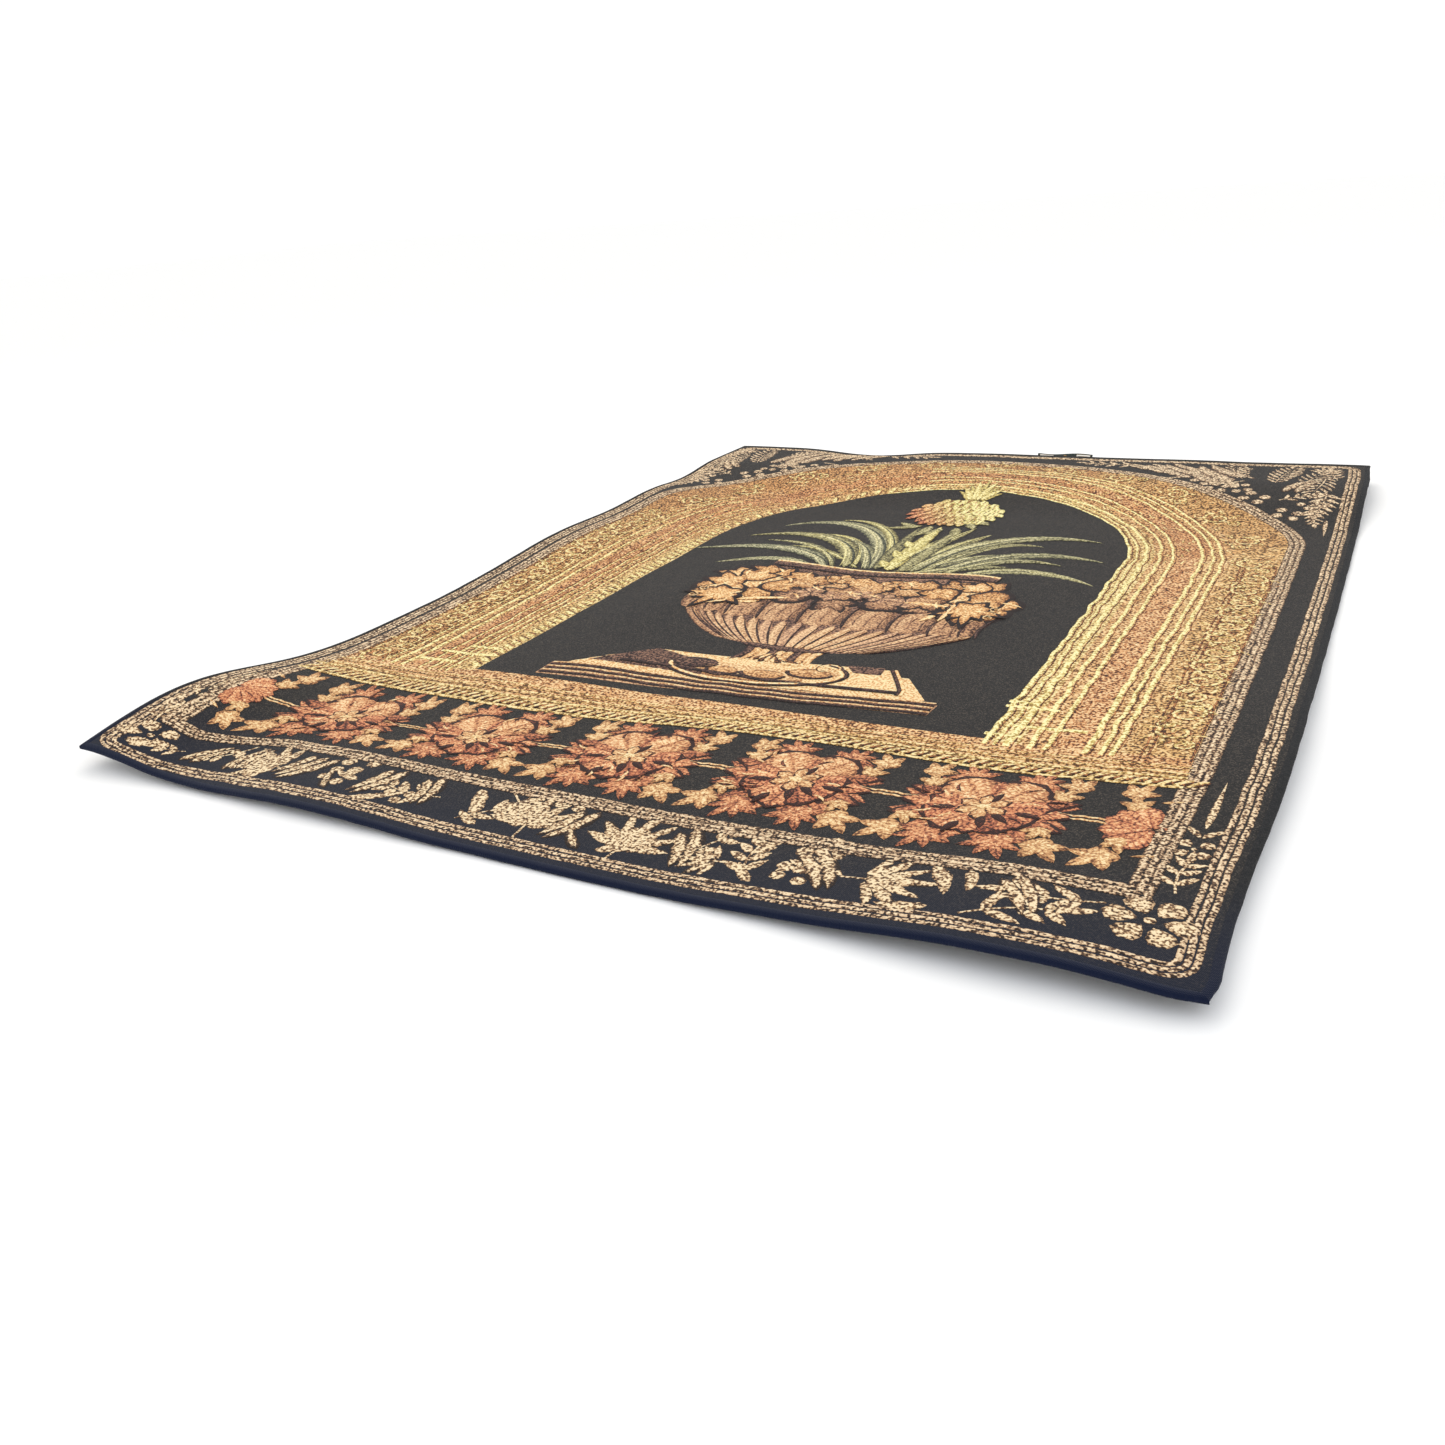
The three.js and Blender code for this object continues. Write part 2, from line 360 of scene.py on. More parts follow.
def sweepEdge(name, side, profile, material):
    # side is bottom, top, left or right; the ends are mitred where two sides meet
    alongX = side in ("bottom", "top")
    half = (width if alongX else height) / 2
    count = round(2 * half / hem["step"])
    points = []
    faces = []
    for i in range(count + 1):
        share = 2 * i / count - 1
        for inward, up in profile:
            run = share * (half - inward)
            wobble = hem["wobble"] * noise.noise(Vector((run / 23, 3.1 * len(side), 0)))
            if alongX:
                x = run
                y = inward + wobble if side == "bottom" else height - inward - wobble
            else:
                x = inward - width / 2 + wobble if side == "left" else width / 2 - inward - wobble
                y = run + height / 2
            drop = 0.0
            if side == "bottom" and inward < 4 and up < 3.2:  # the front edge curls down to the floor
                under = clothUnderside(x, y) + up
                drop = min(under - 0.4, hem["curlDown"]) * (1 - max(inward + 1, 0) / 5)
            points.append(onCloth(x, y, up - cloth["faceTop"] - drop))
    ring = len(profile)
    for i in range(count):
        for k in range(ring):
            a = i * ring + k
            b = i * ring + (k + 1) % ring
            faces.append((a, b, b + ring, a + ring))
    faces.append(tuple(range(ring)))
    faces.append(tuple(count * ring + k for k in range(ring)))
    return newPiece(name, points, faces, material, smooth=60)


def addHems():
    pieces = []
    for side in ("bottom", "top", "left", "right"):
        piece = sweepEdge("hem_fold_" + side, side, hem["fold"], hemCloth)
        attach(piece, "hanging")
        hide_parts("hem_" + side)
        pieces.append(piece)
    return pieces


hems = addHems()
print("the hems are folded")

# Drawing with yarn
# Every figure is a thin raised float of coloured yarn, drawn in the cloth's own millimetres.
# A dye is the tone, the share of the second colour range, and how strong the veins are.
drawing = {
    "sunkEdge": -0.12, "crown": 0.5, "layer": 0.32,  # how high a figure stands on the ground or another
    "under": -0.6,  # the hidden underside of the wide figures
    "step": 7, "gap": 8,  # between the points of a blade, and of the frames
}
drift = {
    # how far, the x where it sets in and over what run, the height of its middle and its spread
    "down": [(34, -320, 110, 112, 82), (32, 120, 380, 225, 75)], "across": (13, -385, 60, 90, 90),
}
darkDye = (0.0, 0, 0)
dimDye = (0.02, 0, 0)
inkDye = (-0.15, 0, 0)
outlines = {  # a blade's half width runs as sin(pi t^a)^b
    "leaf": (0.75, 0.85), "petal": (1.5, 0.6), "spear": (0.6, 1.25), "reed": (0.7, 0.55),
    "seed": (1, 0.5), "band": (1, 0),
}


def drifted(x, y, far, start, run, middle, spread):
    return far * smoothStep((start - x) / run) * exp(-((y - middle) / spread) ** 2)


def pulled(x, y):
    # the weave is pulled out of square, down and in towards the front left corner
    down = sum(drifted(x, y, *pull) for pull in drift["down"])
    across = drifted(x, y, *drift["across"]) * smoothStep((x + 500) / 45)
    return x + across, y - down


def newFigure(seed):
    return {"points": [], "faces": [], "corners": [], "dyes": [], "luck": random.Random(seed)}


def putRow(figure, row, dye):
    start = len(figure["points"])
    for x, y, lift, u, v, rim in row:
        figure["points"].append(onCloth(*pulled(x, y), lift))
        figure["corners"].append((u, v))
        figure["dyes"].append((*dye, rim))
    return list(range(start, start + len(row)))


def strip(faces, a, b):
    # the faces between two rows; a row of one point is a tip
    for k in range(max(len(a), len(b)) - 1):
        if len(a) == 1:
            faces.append((a[0], b[k], b[k + 1]))
        elif len(b) == 1:
            faces.append((a[k], b[0], a[k + 1]))
        else:
            faces.append((a[k], b[k], b[k + 1], a[k + 1]))


def loft(figure, rows, dye, closed=False, wide=False):
    # rows of points that run from right to left; wide figures get an underside that follows the cloth
    widest = max(range(len(rows) - 1), key=lambda i: len(rows[i]) + len(rows[i + 1]))
    a = Vector(rows[widest][0][:2])
    b = Vector(rows[widest][-1][:2])
    c = Vector(rows[widest + 1][0][:2])
    d = Vector(rows[widest + 1][-1][:2])
    if (c + d - a - b).cross(b - a + d - c) < 0:
        rows = [row[::-1] for row in rows]
    top = [putRow(figure, row, dye) for row in rows]
    faces = figure["faces"]
    follow = top[1:] + (top[:1] if closed else [])
    if not wide:
        for a, b in zip(top, follow):
            strip(faces, a, b)
            strip(faces, (a[-1], a[0]) if len(a) > 1 else a, (b[-1], b[0]) if len(b) > 1 else b)
        if not closed:
            if len(top[0]) > 1:
                faces.append(tuple(top[0]))
            if len(top[-1]) > 1:
                faces.append(tuple(top[-1][::-1]))
        return
    under = [putRow(figure, [(x, y, drawing["under"], u, v, rim) for x, y, lift, u, v, rim in row], dye)
             for row in rows]
    below = under[1:] + (under[:1] if closed else [])
    for a, b, c, d in zip(top, follow, under, below):
        strip(faces, a, b)
        strip(faces, c[::-1], d[::-1])
        faces.append((a[0], c[0], d[0], b[0]))
        faces.append((b[-1], d[-1], c[-1], a[-1]))
    if not closed:
        strip(faces, under[0], top[0])
        strip(faces, top[-1], under[-1])


def alongCurve(spine, t):
    # a place and a heading on the smooth curve that the spine's points pull
    work = [Vector(p) for p in spine]
    while len(work) > 2:
        work = [a.lerp(b, t) for a, b in zip(work, work[1:])]
    return work[0].lerp(work[1], t), (work[1] - work[0]).normalized()


def evenly(count):
    # each step's number and its share, from -1 to 1
    return [(k, 2 * k / (count - 1) - 1) for k in range(count)]


def crossRow(middle, heading, reach, base, v, across):
    # a row of points across a blade or a ribbon, highest in its middle
    side = Vector((-heading.y, heading.x))
    row = []
    for _, u in evenly(across):
        at = middle + side * (u * reach)
        row.append((at.x, at.y, base + drawing["sunkEdge"] + drawing["crown"] * (1 - u * u), u, v, abs(u)))
    return row


def blade(figure, spine, half, dye, shape="leaf", layer=0, ripple=0.0):
    # a leaf, petal, stem or reed along a curved spine
    skew, fullness = outlines[shape]
    length = sum((Vector(b) - Vector(a)).length for a, b in zip(spine, spine[1:]))
    steps = max(4, round(length / drawing["step"]))
    base = layer * drawing["layer"]
    rows = []
    for i in range(steps + 1):
        t = i / steps
        middle, heading = alongCurve(spine, t)
        reach = half * max(sin(pi * t ** skew), 0) ** fullness * (1 + ripple * sin(2.1 * i + half))
        if reach < 0.2:
            rows.append([(middle.x, middle.y, base + drawing["sunkEdge"], 0, t * length, 1)])
        else:
            rows.append(crossRow(middle, heading, reach, base, t * length, 5 if half > 2.5 else 3))
    loft(figure, rows, dye)


def ribbon(figure, path, half, dye, layer=0, closed=False, taper=0.0, wander=0.0):
    # a flat line of yarn along a path, tapered towards its end, wandering a little as it is woven
    path = [Vector(p) for p in path]
    count = len(path)
    rows = []
    run = 0.0
    for i, at in enumerate(path):
        before = path[i - 1] if i or closed else at
        after = path[(i + 1) % count] if i + 1 < count or closed else at
        heading = (after - before).normalized()
        run += (at - before).length if i else 0
        shake = wander * noise.noise(Vector((at.x / 26, at.y / 26, 5)))
        at = at + Vector((-heading.y, heading.x)) * shake
        rows.append(crossRow(at, heading, half * (1 - taper * i / count), layer * drawing["layer"], run, 3))
    loft(figure, rows, dye, closed)


def lobedLeaf(figure, x, y, angle, size, lobes, dye, layer=0, valley=0.42):
    # a leaf with pointed lobes; a lobe is its angle and its share of the leaf's length
    reach = []
    for i, (axis, share) in enumerate(lobes):
        before = lobes[i - 1][0] - (360 if i == 0 else 0)
        after = lobes[(i + 1) % len(lobes)][0] + (360 if i + 1 == len(lobes) else 0)
        for f in (-1, -0.6, -0.25, 0, 0.25, 0.6):
            turn = axis + f * ((axis - before) / 2 if f < 0 else (after - axis) / 2)
            out = valley + (share - valley) * (1 - abs(f) ** 0.9)
            reach.append((radians(angle + turn), size * out, f))
    base = layer * drawing["layer"] + drawing["sunkEdge"]
    crown = drawing["crown"]
    middle = putRow(figure, [(x, y, base + crown, 0, 0, 0)], dye)[0]
    rings = []
    for share, up in ((0.45, crown), (0.82, crown * 0.75), (1, 0)):
        rings.append(putRow(figure, [(x + cos(turn) * out * share, y + sin(turn) * out * share, base + up,
                                      f, out * share, share) for turn, out, f in reach], dye))
    below = putRow(figure, [(x, y, base, 0, 0, 0)], dye)[0]
    inner, outer, rim = rings
    for k in range(len(reach)):
        n = (k + 1) % len(reach)
        figure["faces"] += [(middle, inner[k], inner[n]), (inner[k], outer[k], outer[n], inner[n]),
                            (outer[k], rim[k], rim[n], outer[n]), (below, rim[n], rim[k])]


ivy = [(0, 1.0), (58, 0.8), (128, 0.52), (232, 0.52), (302, 0.8)]
maple = [(0, 1.0), (42, 0.82), (88, 0.9), (140, 0.5), (220, 0.5), (272, 0.9), (318, 0.82)]
droop = [(0, 1.0), (32, 0.62), (68, 0.78), (110, 0.5), (150, 0.6), (210, 0.6), (250, 0.5), (292, 0.78),
         (328, 0.62)]


def off(x, y, angle, far, aside=0.0):
    # a place at a distance in a direction, and a little to its left
    turn = radians(angle)
    return (x + cos(turn) * far - sin(turn) * aside, y + sin(turn) * far + cos(turn) * aside)


def slope(x, y):
    # the direction of a step, in degrees
    return atan2(y, x) * 180 / pi


def frond(figure, x, y, angle, size, half, dye, bend=0.0, shape="leaf", layer=0, ripple=0.0):
    # one blade from its root, bent to its left
    spine = [(x, y), off(x, y, angle, size * 0.5, bend * size), off(x, y, angle, size)]
    blade(figure, spine, half, dye, shape, layer, ripple=ripple)


def inked(figure, x, y, angle, size, half, dye, bend=0.0, shape="leaf", layer=0, ripple=0.0, ink=2.2):
    # a blade with a dark line all round it
    root = off(x, y, angle, -ink)
    frond(figure, *root, angle, size + 2 * ink, half + ink, inkDye, bend, shape, layer - 0.5, ripple)
    frond(figure, x, y, angle, size, half, dye, bend, shape, layer, ripple)


def flower(figure, x, y, angle, size, dye, petals=4):
    for i in range(petals):
        turn = angle + 360 * i / petals
        root = off(x, y, turn, size * 0.22)
        frond(figure, *root, turn, size * 0.88, size * 0.42, dye, shape="petal")
    frond(figure, *off(x, y, angle, -size * 0.17), angle, size * 0.34, size * 0.17, dye, shape="seed")


def berries(figure, x, y, angle, size, dye):
    for aside, far in ((-0.5, 0.0), (0.5, 0.1), (-0.35, 1.0), (0.6, 1.05)):
        root = off(x, y, angle, size * far, size * aside)
        frond(figure, *root, angle + 25 * aside, size * 0.92, size * 0.48, dye, shape="seed")


def twig(figure, x, y, angle, size, dye, pairs, leaf, bend=0.12, half=None):
    # a thin bent stem with leaves on both sides and one at its end
    spine = [(x, y), off(x, y, angle, size * 0.5, bend * size), off(x, y, angle, size * 0.82)]
    blade(figure, spine, 1.3, dye, "band")
    for i in range(pairs):
        at, heading = alongCurve(spine, (i + 0.6) / pairs)
        length = size * leaf * (1 - 0.3 * i / pairs)
        wide = 1.25 * half if half else length * 0.2
        for side in (-1, 1):
            frond(figure, *at, slope(*heading) + side * 48, length, wide, dye, bend=-0.1 * side)
    frond(figure, *spine[-1], angle, size * leaf, 1.25 * half if half else size * leaf * 0.21, dye)


def palm(figure, x, y, angle, size, dye):
    # leaflets spread from a full heart, on a short stalk
    frond(figure, *off(x, y, angle, -size * 0.35), angle, size * 0.5, 1.4, dye, shape="band")
    frond(figure, x, y, angle, size * 0.62, size * 0.24, dye, shape="petal")
    for i, share in evenly(7):
        length = size * (1 - 0.3 * abs(share))
        inked(figure, x, y, angle + 75.0 * share, length, size * 0.11, dye, bend=-0.07 * share, shape="reed",
              layer=0.5 * (i % 2), ripple=0.12, ink=1.8)


def spray(figure, x, y, angle, size, dye, blades):
    # long curved blades side by side
    for i in range(blades):
        root = off(x, y, angle, size * 0.12 * i, -size * 0.2 * (i - (blades - 1) / 2))
        inked(figure, *root, angle + 5 * i, size * (1 - 0.12 * i), size * 0.1, dye, bend=0.14, shape="reed",
              ripple=0.1, layer=1, ink=1.8)


def feather(figure, x, y, angle, size, dye, pairs):
    # a deeply cut leaf: narrow leaflets close together along a rib
    spine = [(x, y), off(x, y, angle, size * 0.5, 0.08 * size), off(x, y, angle, size)]
    blade(figure, spine, 1.6, dye, "spear")
    for i in range(pairs):
        t = (i + 0.5) / pairs
        at, heading = alongCurve(spine, t)
        length = size * 0.24 * sin(pi * (0.2 + 0.7 * t)) * 1.5
        for side in (-1, 1):
            frond(figure, *at, slope(*heading) + side * 38, length, size * 0.035, dye, bend=0.1 * side,
                  shape="reed")


def slip(figure, x, y, angle, size, dye):
    frond(figure, x, y, angle, size, size * 0.17, dye, bend=0.15, ripple=0.1)


def spear(figure, x, y, angle, size, dye):
    blade(figure, [(x, y), off(x, y, angle, size)], 3.2, dye, "spear")


def scatter(figure, draw, dye, places, middle=0, side=1, **more):
    # one kind of growth at many places: x, y, angle, size and the rest; side -1 mirrors them
    for x, y, angle, size, *rest in places:
        draw(figure, middle + side * x, y, angle if side > 0 else 180 - angle, size, dye, *rest, **more)


# Yarn materials
def yarnMaterial(name, first, second, veinPitch=6.0, lean=1.2, mottle=0.4, fleck=0.4, speckle=0.2, size=2.6,
                 outline=0.42):
    # dyed cotton weft floats: two ranges of colours, dark outlines and veins, and the speckle of mixed yarns
    material, tree = newMaterial(name)
    place, crossing, relief = weave(tree, yarnLook["spread"])
    dye = addNode(tree, "Attribute", attribute_name="dye")
    tint, share, veining = addNode(tree, "SeparateColor", {0: dye}).node.outputs[:3]
    flat = addNode(tree, "UVMap", uv_map="flat")
    across, along = addNode(tree, "SeparateXYZ", {0: flat}).node.outputs[:2]
    blotch = addNode(tree, "TexNoise", {"Vector": place, "Scale": 1000 / yarnLook["blotch"], "Detail": 3.0})
    knots = addNode(tree, "TexNoise", {"Vector": place, "Scale": 1000 / size, "Detail": 1.0})
    dots = ranged(tree, knots, *yarnLook["knots"])
    yarns = weighed(tree, (dots, blotch, crossing), (fleck, mottle, speckle))
    wide = reckon(tree, "ABSOLUTE", across)
    rib = ranged(tree, wide, 0.0, yarnLook["rib"], 1.0, 0.0)
    turns = weighed(tree, (wide, along), (-lean, 1 / veinPitch, 0))
    cut = ranged(tree, reckon(tree, "FRACT", turns), 0.0, yarnLook["cut"], 1.0, 0.0)
    veins = reckon(tree, "MULTIPLY", reckon(tree, "MAXIMUM", rib, cut), veining)
    edge = ranged(tree, dye.node.outputs["Alpha"], *yarnLook["rim"])
    lit = reckon(tree, "GREATER_THAN", across, 0.0)
    shade = weighed(tree, (veins, edge, lit), (-yarnLook["veinDark"], -outline, yarnLook["sideLight"]))
    tone = reckon(tree, "ADD", reckon(tree, "ADD", yarns, tint), shade)
    total = reckon(tree, "ADD", tone, -(mottle + fleck + speckle) / 2)
    one, two = (addNode(tree, "ValToRGB", {"Fac": total}, ramp=ramp) for ramp in (first, second))
    colour = addNode(tree, "Mix", {0: share, 6: one, 7: two}, out=2, data_type="RGBA")
    finishCloth(tree, colour, relief)
    return material


def shades(codes, places=(0.0, 0.25, 0.5, 0.75, 1.0)):
    return list(zip(places, codes.split()))


rust = shades("341f1b 784232 b4694a d98d60 efb480 fad6a6", (0.0, 0.2, 0.42, 0.62, 0.82, 1.0))
gold = shades("3a2a20 805a38 c39762 e4c288 f6e6b4")
tan = shades("2a201a 5e4838 9c8066 d0b08e f6deba")
sage = shades("2a2d28 555745 8b8a6c bab492 e6dcb4", (0.0, 0.3, 0.55, 0.8, 1.0))
amber = shades("39241a 835434 cc9055 ecba7c f9e4b0")
straw = shades("4a4028 8f8048 c4b166 e2d486 f6eeb2")
ochre = shades("452a1c 8a5636 c4824e dda26a f0cd9a")
butter = shades("6e5530 b39650 dcc276 f0de96 fbf2b6", (0.0, 0.3, 0.55, 0.8, 1.0))
wine = shades("231816 553a34 94705a c79672 ecc396")

garlandYarn = yarnMaterial("garland_yarn", rust, gold, fleck=0.4, size=2.4, outline=0.3)
vineYarn = yarnMaterial("vine_yarn", tan, gold, fleck=0.85, speckle=0.25, outline=0.55)
plantYarn = yarnMaterial("plant_yarn", sage, straw, veinPitch=3.2, lean=4.0, fleck=0.5)
fieldYarn = yarnMaterial("field_yarn", ochre, butter, mottle=0.9, fleck=0.85, size=2.8)
urnYarn = yarnMaterial("urn_yarn", wine, amber, veinPitch=5.0, fleck=0.45, outline=0.35)
fruitYarn = yarnMaterial("fruit_yarn", rust, straw, veinPitch=4.0, fleck=0.6)


def weaveIn(name, figure, material):
    piece = newPiece(name, figure["points"], figure["faces"], material, figure["corners"], figure["dyes"])
    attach(piece, "hanging")


def cornered(left, bottom, right, top, radius):
    # points round a frame with rounded corners, anticlockwise
    path = []
    corners = ((right, bottom, 270), (right, top, 0), (left, top, 90), (left, bottom, 180))
    for n, (x, y, start) in enumerate(corners):
        cx = x - radius if x == right else x + radius
        cy = y - radius if y == top else y + radius
        for k in range(5):
            turn = radians(start + 90 * k / 4)
            path.append((cx + radius * cos(turn), cy + radius * sin(turn)))
        nx, ny = corners[(n + 1) % 4][:2]
        whole = hypot(nx - x, ny - y)
        span = whole - 2 * radius
        count = round(span / drawing["gap"])
        sx, sy = path[-1]
        for k in range(1, count):
            share = k / count * span / whole
            path.append((sx + (nx - x) * share, sy + (ny - y) * share))
    return path


frameLines = {
    "left": -482, "right": 477, "bottom": 20, "top": 1313, "radius": 14,
    "innerLeft": -460, "innerRight": 436, "innerBottom": 99, "innerRadius": 516,
    "apart": 5.6, "half": 2.9, "easeAbove": 880,
}
niche = {"middle": -12, "half": 271, "spring": 850, "rise": 275, "floor": 322, "outerCentre": 754}


def archPath(reach, out, foot, gap=8.0, start=0.0, end=3.0):
    # up the left side, round the arch and down the right: 0 to 1, 1 to 2 and 2 to 3
    middle = niche["middle"]
    spring = niche["spring"]
    rise = niche["rise"] + 0.93 * out
    reach = reach + out
    total = 2 * (spring - foot) + pi * (reach + rise) / 2
    count = round(total / gap * (end - start) / 3)
    path = []
    for k in range(count + 1):
        s = start + (end - start) * k / count
        if s <= 1:
            path.append((middle - reach, foot + (spring - foot) * s))
        elif s < 2:
            turn = pi * (2 - s)
            path.append((middle + reach * cos(turn), spring + rise * sin(turn)))
        else:
            path.append((middle + reach, spring - (spring - foot) * (s - 2)))
    return path


def innerArch(offset):
    # the inner stripe's arch: half width, radius, the angle where it meets the sides, and that height
    half = (frameLines["innerRight"] - frameLines["innerLeft"]) / 2 + offset
    radius = frameLines["innerRadius"] + offset
    lean = atan2(sqrt(radius * radius - half * half), half)
    return half, radius, lean, niche["outerCentre"] + radius * sin(lean)


def innerPath(offset):
    # the inner stripe's own path: round the arch from right to left, then the sides and the bottom
    middle = niche["middle"]
    half, radius, lean, spring = innerArch(offset)
    bottom = frameLines["innerBottom"] - offset
    path = []
    count = round((pi - 2 * lean) * radius / drawing["gap"])
    for k in range(count):
        turn = lean + (pi - 2 * lean) * k / count
        path.append((middle + radius * cos(turn), niche["outerCentre"] + radius * sin(turn)))
    side = round((spring - bottom) / drawing["gap"])
    path += [(middle - half, spring + (bottom - spring) * k / side) for k in range(side)]
    wide = round(2 * half / drawing["gap"])
    path += [(middle - half + 2 * half * k / wide, bottom) for k in range(wide)]
    path += [(middle + half, bottom + (spring - bottom) * k / side) for k in range(side)]
    eased = []
    for k, (x, y) in enumerate(path):  # the arch runs into the sides without a corner
        near = [path[(k + n) % len(path)] for n in range(-6, 7)] if y > frameLines["easeAbove"] else [(x, y)]
        eased.append((sum(at[0] for at in near) / len(near), sum(at[1] for at in near) / len(near)))
    return eased


def addFrameStripes(figure):
    # two frames of three lines each, the inner one arched
    for k in (-1, 0, 1):
        offset = k * frameLines["apart"]
        dye = (0.46 - 0.04 * abs(k), 0.15, 0)
        path = cornered(frameLines["left"] - offset, frameLines["bottom"] - offset,
                        frameLines["right"] + offset,
                        frameLines["top"] + offset * 0.7, frameLines["radius"] + offset)
        ribbon(figure, path, frameLines["half"], dye, closed=True, wander=1.1)
        ribbon(figure, innerPath(offset * 1.1), frameLines["half"] * 1.15, dye, layer=1, closed=True,
               wander=1.1)


# What grows along the front band and in the upper corners: x, y, angle, size, and petals, pairs or blades
vine = {
    "dye": (0.6, 0.35, 0.15),
    "flowers": [(-458, 62, 50, 29, 5), (449, 68, 58, 29, 6)],
    "twigs": [(-405, 58, 190, 50, 3), (-352, 86, 235, 46, 2), (-118, 60, 182, 66, 3), (-84, 36, 40, 62, 3),
              (120, 44, 65, 56, 2), (176, 36, 98, 60, 4), (232, 88, 225, 42, 2), (420, 78, 186, 70, 3),
              (336, 32, 22, 74, 3)],
    "palms": [(-300, 52, 170, 62), (-22, 46, 96, 58), (68, 44, 84, 60), (262, 60, 4, 54), (-52, 80, 318, 44),
              (148, 52, 186, 36)],
    "sprays": [(-392, 34, 58, 52, 2), (-342, 32, 78, 52, 2), (-262, 90, 238, 60, 3), (-182, 90, 252, 58, 2),
               (-146, 90, 285, 52, 2), (18, 90, 248, 56, 2), (104, 90, 285, 58, 2), (204, 92, 300, 64, 2),
               (352, 93, 296, 56, 2), (-222, 32, 120, 40, 1), (38, 32, 130, 36, 1)],
    "berries": [(-236, 68, 60, 19), (-232, 40, 80, 16), (218, 76, 100, 19), (208, 38, 85, 15),
                (-6, 80, 90, 15), (-160, 38, 60, 14)],
    "slips": [(-205, 56, 165, 34), (-160, 46, 210, 38), (-96, 88, 292, 46), (316, 36, 186, 40),
              (300, 92, 296, 46), (326, 92, 282, 34), (186, 32, 130, 34), (50, 34, 20, 36),
              (-60, 34, 150, 34), (246, 60, 150, 30)],
}
spandrel = {
    "dye": (0.56, 0.15, 0.3),
    "feathers": [(395, 1205, 78, 98, 8), (352, 1222, 100, 88, 7), (455, 1250, 262, 88, 7),
                 (320, 1230, 62, 70, 6), (430, 1195, 75, 80, 6)],
    "sprays": [(350, 1195, 118, 118, 3), (300, 1228, 128, 92, 3), (268, 1248, 140, 70, 3),
               (238, 1262, 150, 58, 2), (330, 1180, 95, 60, 2), (415, 1165, 60, 70, 2)],
    "berries": [(330, 1195, 250, 17), (305, 1205, 230, 18), (385, 1162, 240, 19), (370, 1185, 200, 16),
                (428, 1112, 250, 18), (440, 1140, 300, 15)],
    "twigs": [(462, 1178, 265, 95, 6), (448, 1120, 280, 62, 4), (205, 1288, 178, 90, 4),
              (408, 1140, 30, 58, 4), (250, 1275, 205, 40, 3), (470, 1235, 100, 70, 5)],
    "palms": [(345, 1205, 215, 36), (452, 1275, 70, 38)],
    "spears": [(470, 1085, 272, 70), (285, 1225, 200, 50), (370, 1225, 140, 60)],
}


def addVineBand(figure):
    dye = vine["dye"]
    scatter(figure, flower, dye, vine["flowers"])
    scatter(figure, twig, dye, vine["twigs"], leaf=0.42, half=4.2)
    for draw, places in ((palm, "palms"), (spray, "sprays"), (berries, "berries"), (slip, "slips")):
        scatter(figure, draw, dye, vine[places])
    for x, drop in ((-471, 40), (457, 0)):  # what grows up the two sides
        frond(figure, x, 202 - drop, 90, 84, 3.4, dye, shape="spear")
        for lean in (-1, 1):
            frond(figure, x, 188 - drop, 90 - 42 * lean, 24, 3.6, dye, bend=0.15 * lean)
        flower(figure, x - 1, 172 - drop, 45, 15, dye)
        twig(figure, x, 108 - drop / 2, 90, 50 - drop / 3, dye, 3, leaf=0.44, half=3.2)


def addSpandrels(figure):
    # foliage in the two upper corners, the left one the mirror of the right
    for side in (1, -1):
        for draw, name, more in ((feather, "feathers", {}), (spray, "sprays", {}), (berries, "berries", {}),
                                 (twig, "twigs", {"leaf": 0.3, "bend": 0.06}), (palm, "palms", {}),
                                 (spear, "spears", {})):
            scatter(figure, draw, spandrel["dye"], spandrel[name], niche["middle"], side, **more)


# The garland
garland = {
    "first": -325, "pitch": 156.5, "count": 5, "height": 190, "reach": 63,
    # a flower's petals: angle, tone and share of gold; and its dark hollows: angle and how far out
    "petals": [(58, 0.66, 0.4), (122, 0.7, 0.35), (12, 0.5, 0.05), (168, 0.56, 0.1), (240, 0.6, 0.15),
               (300, 0.36, 0), (335, 0.44, 0), (205, 0.46, 0), (90, 0.5, 0.1), (270, 0.5, 0.1)],
    "hollows": [(285, 0.24), (318, 0.2), (195, 0.3), (75, 0.1), (350, 0.4), (252, 0.45)],
}


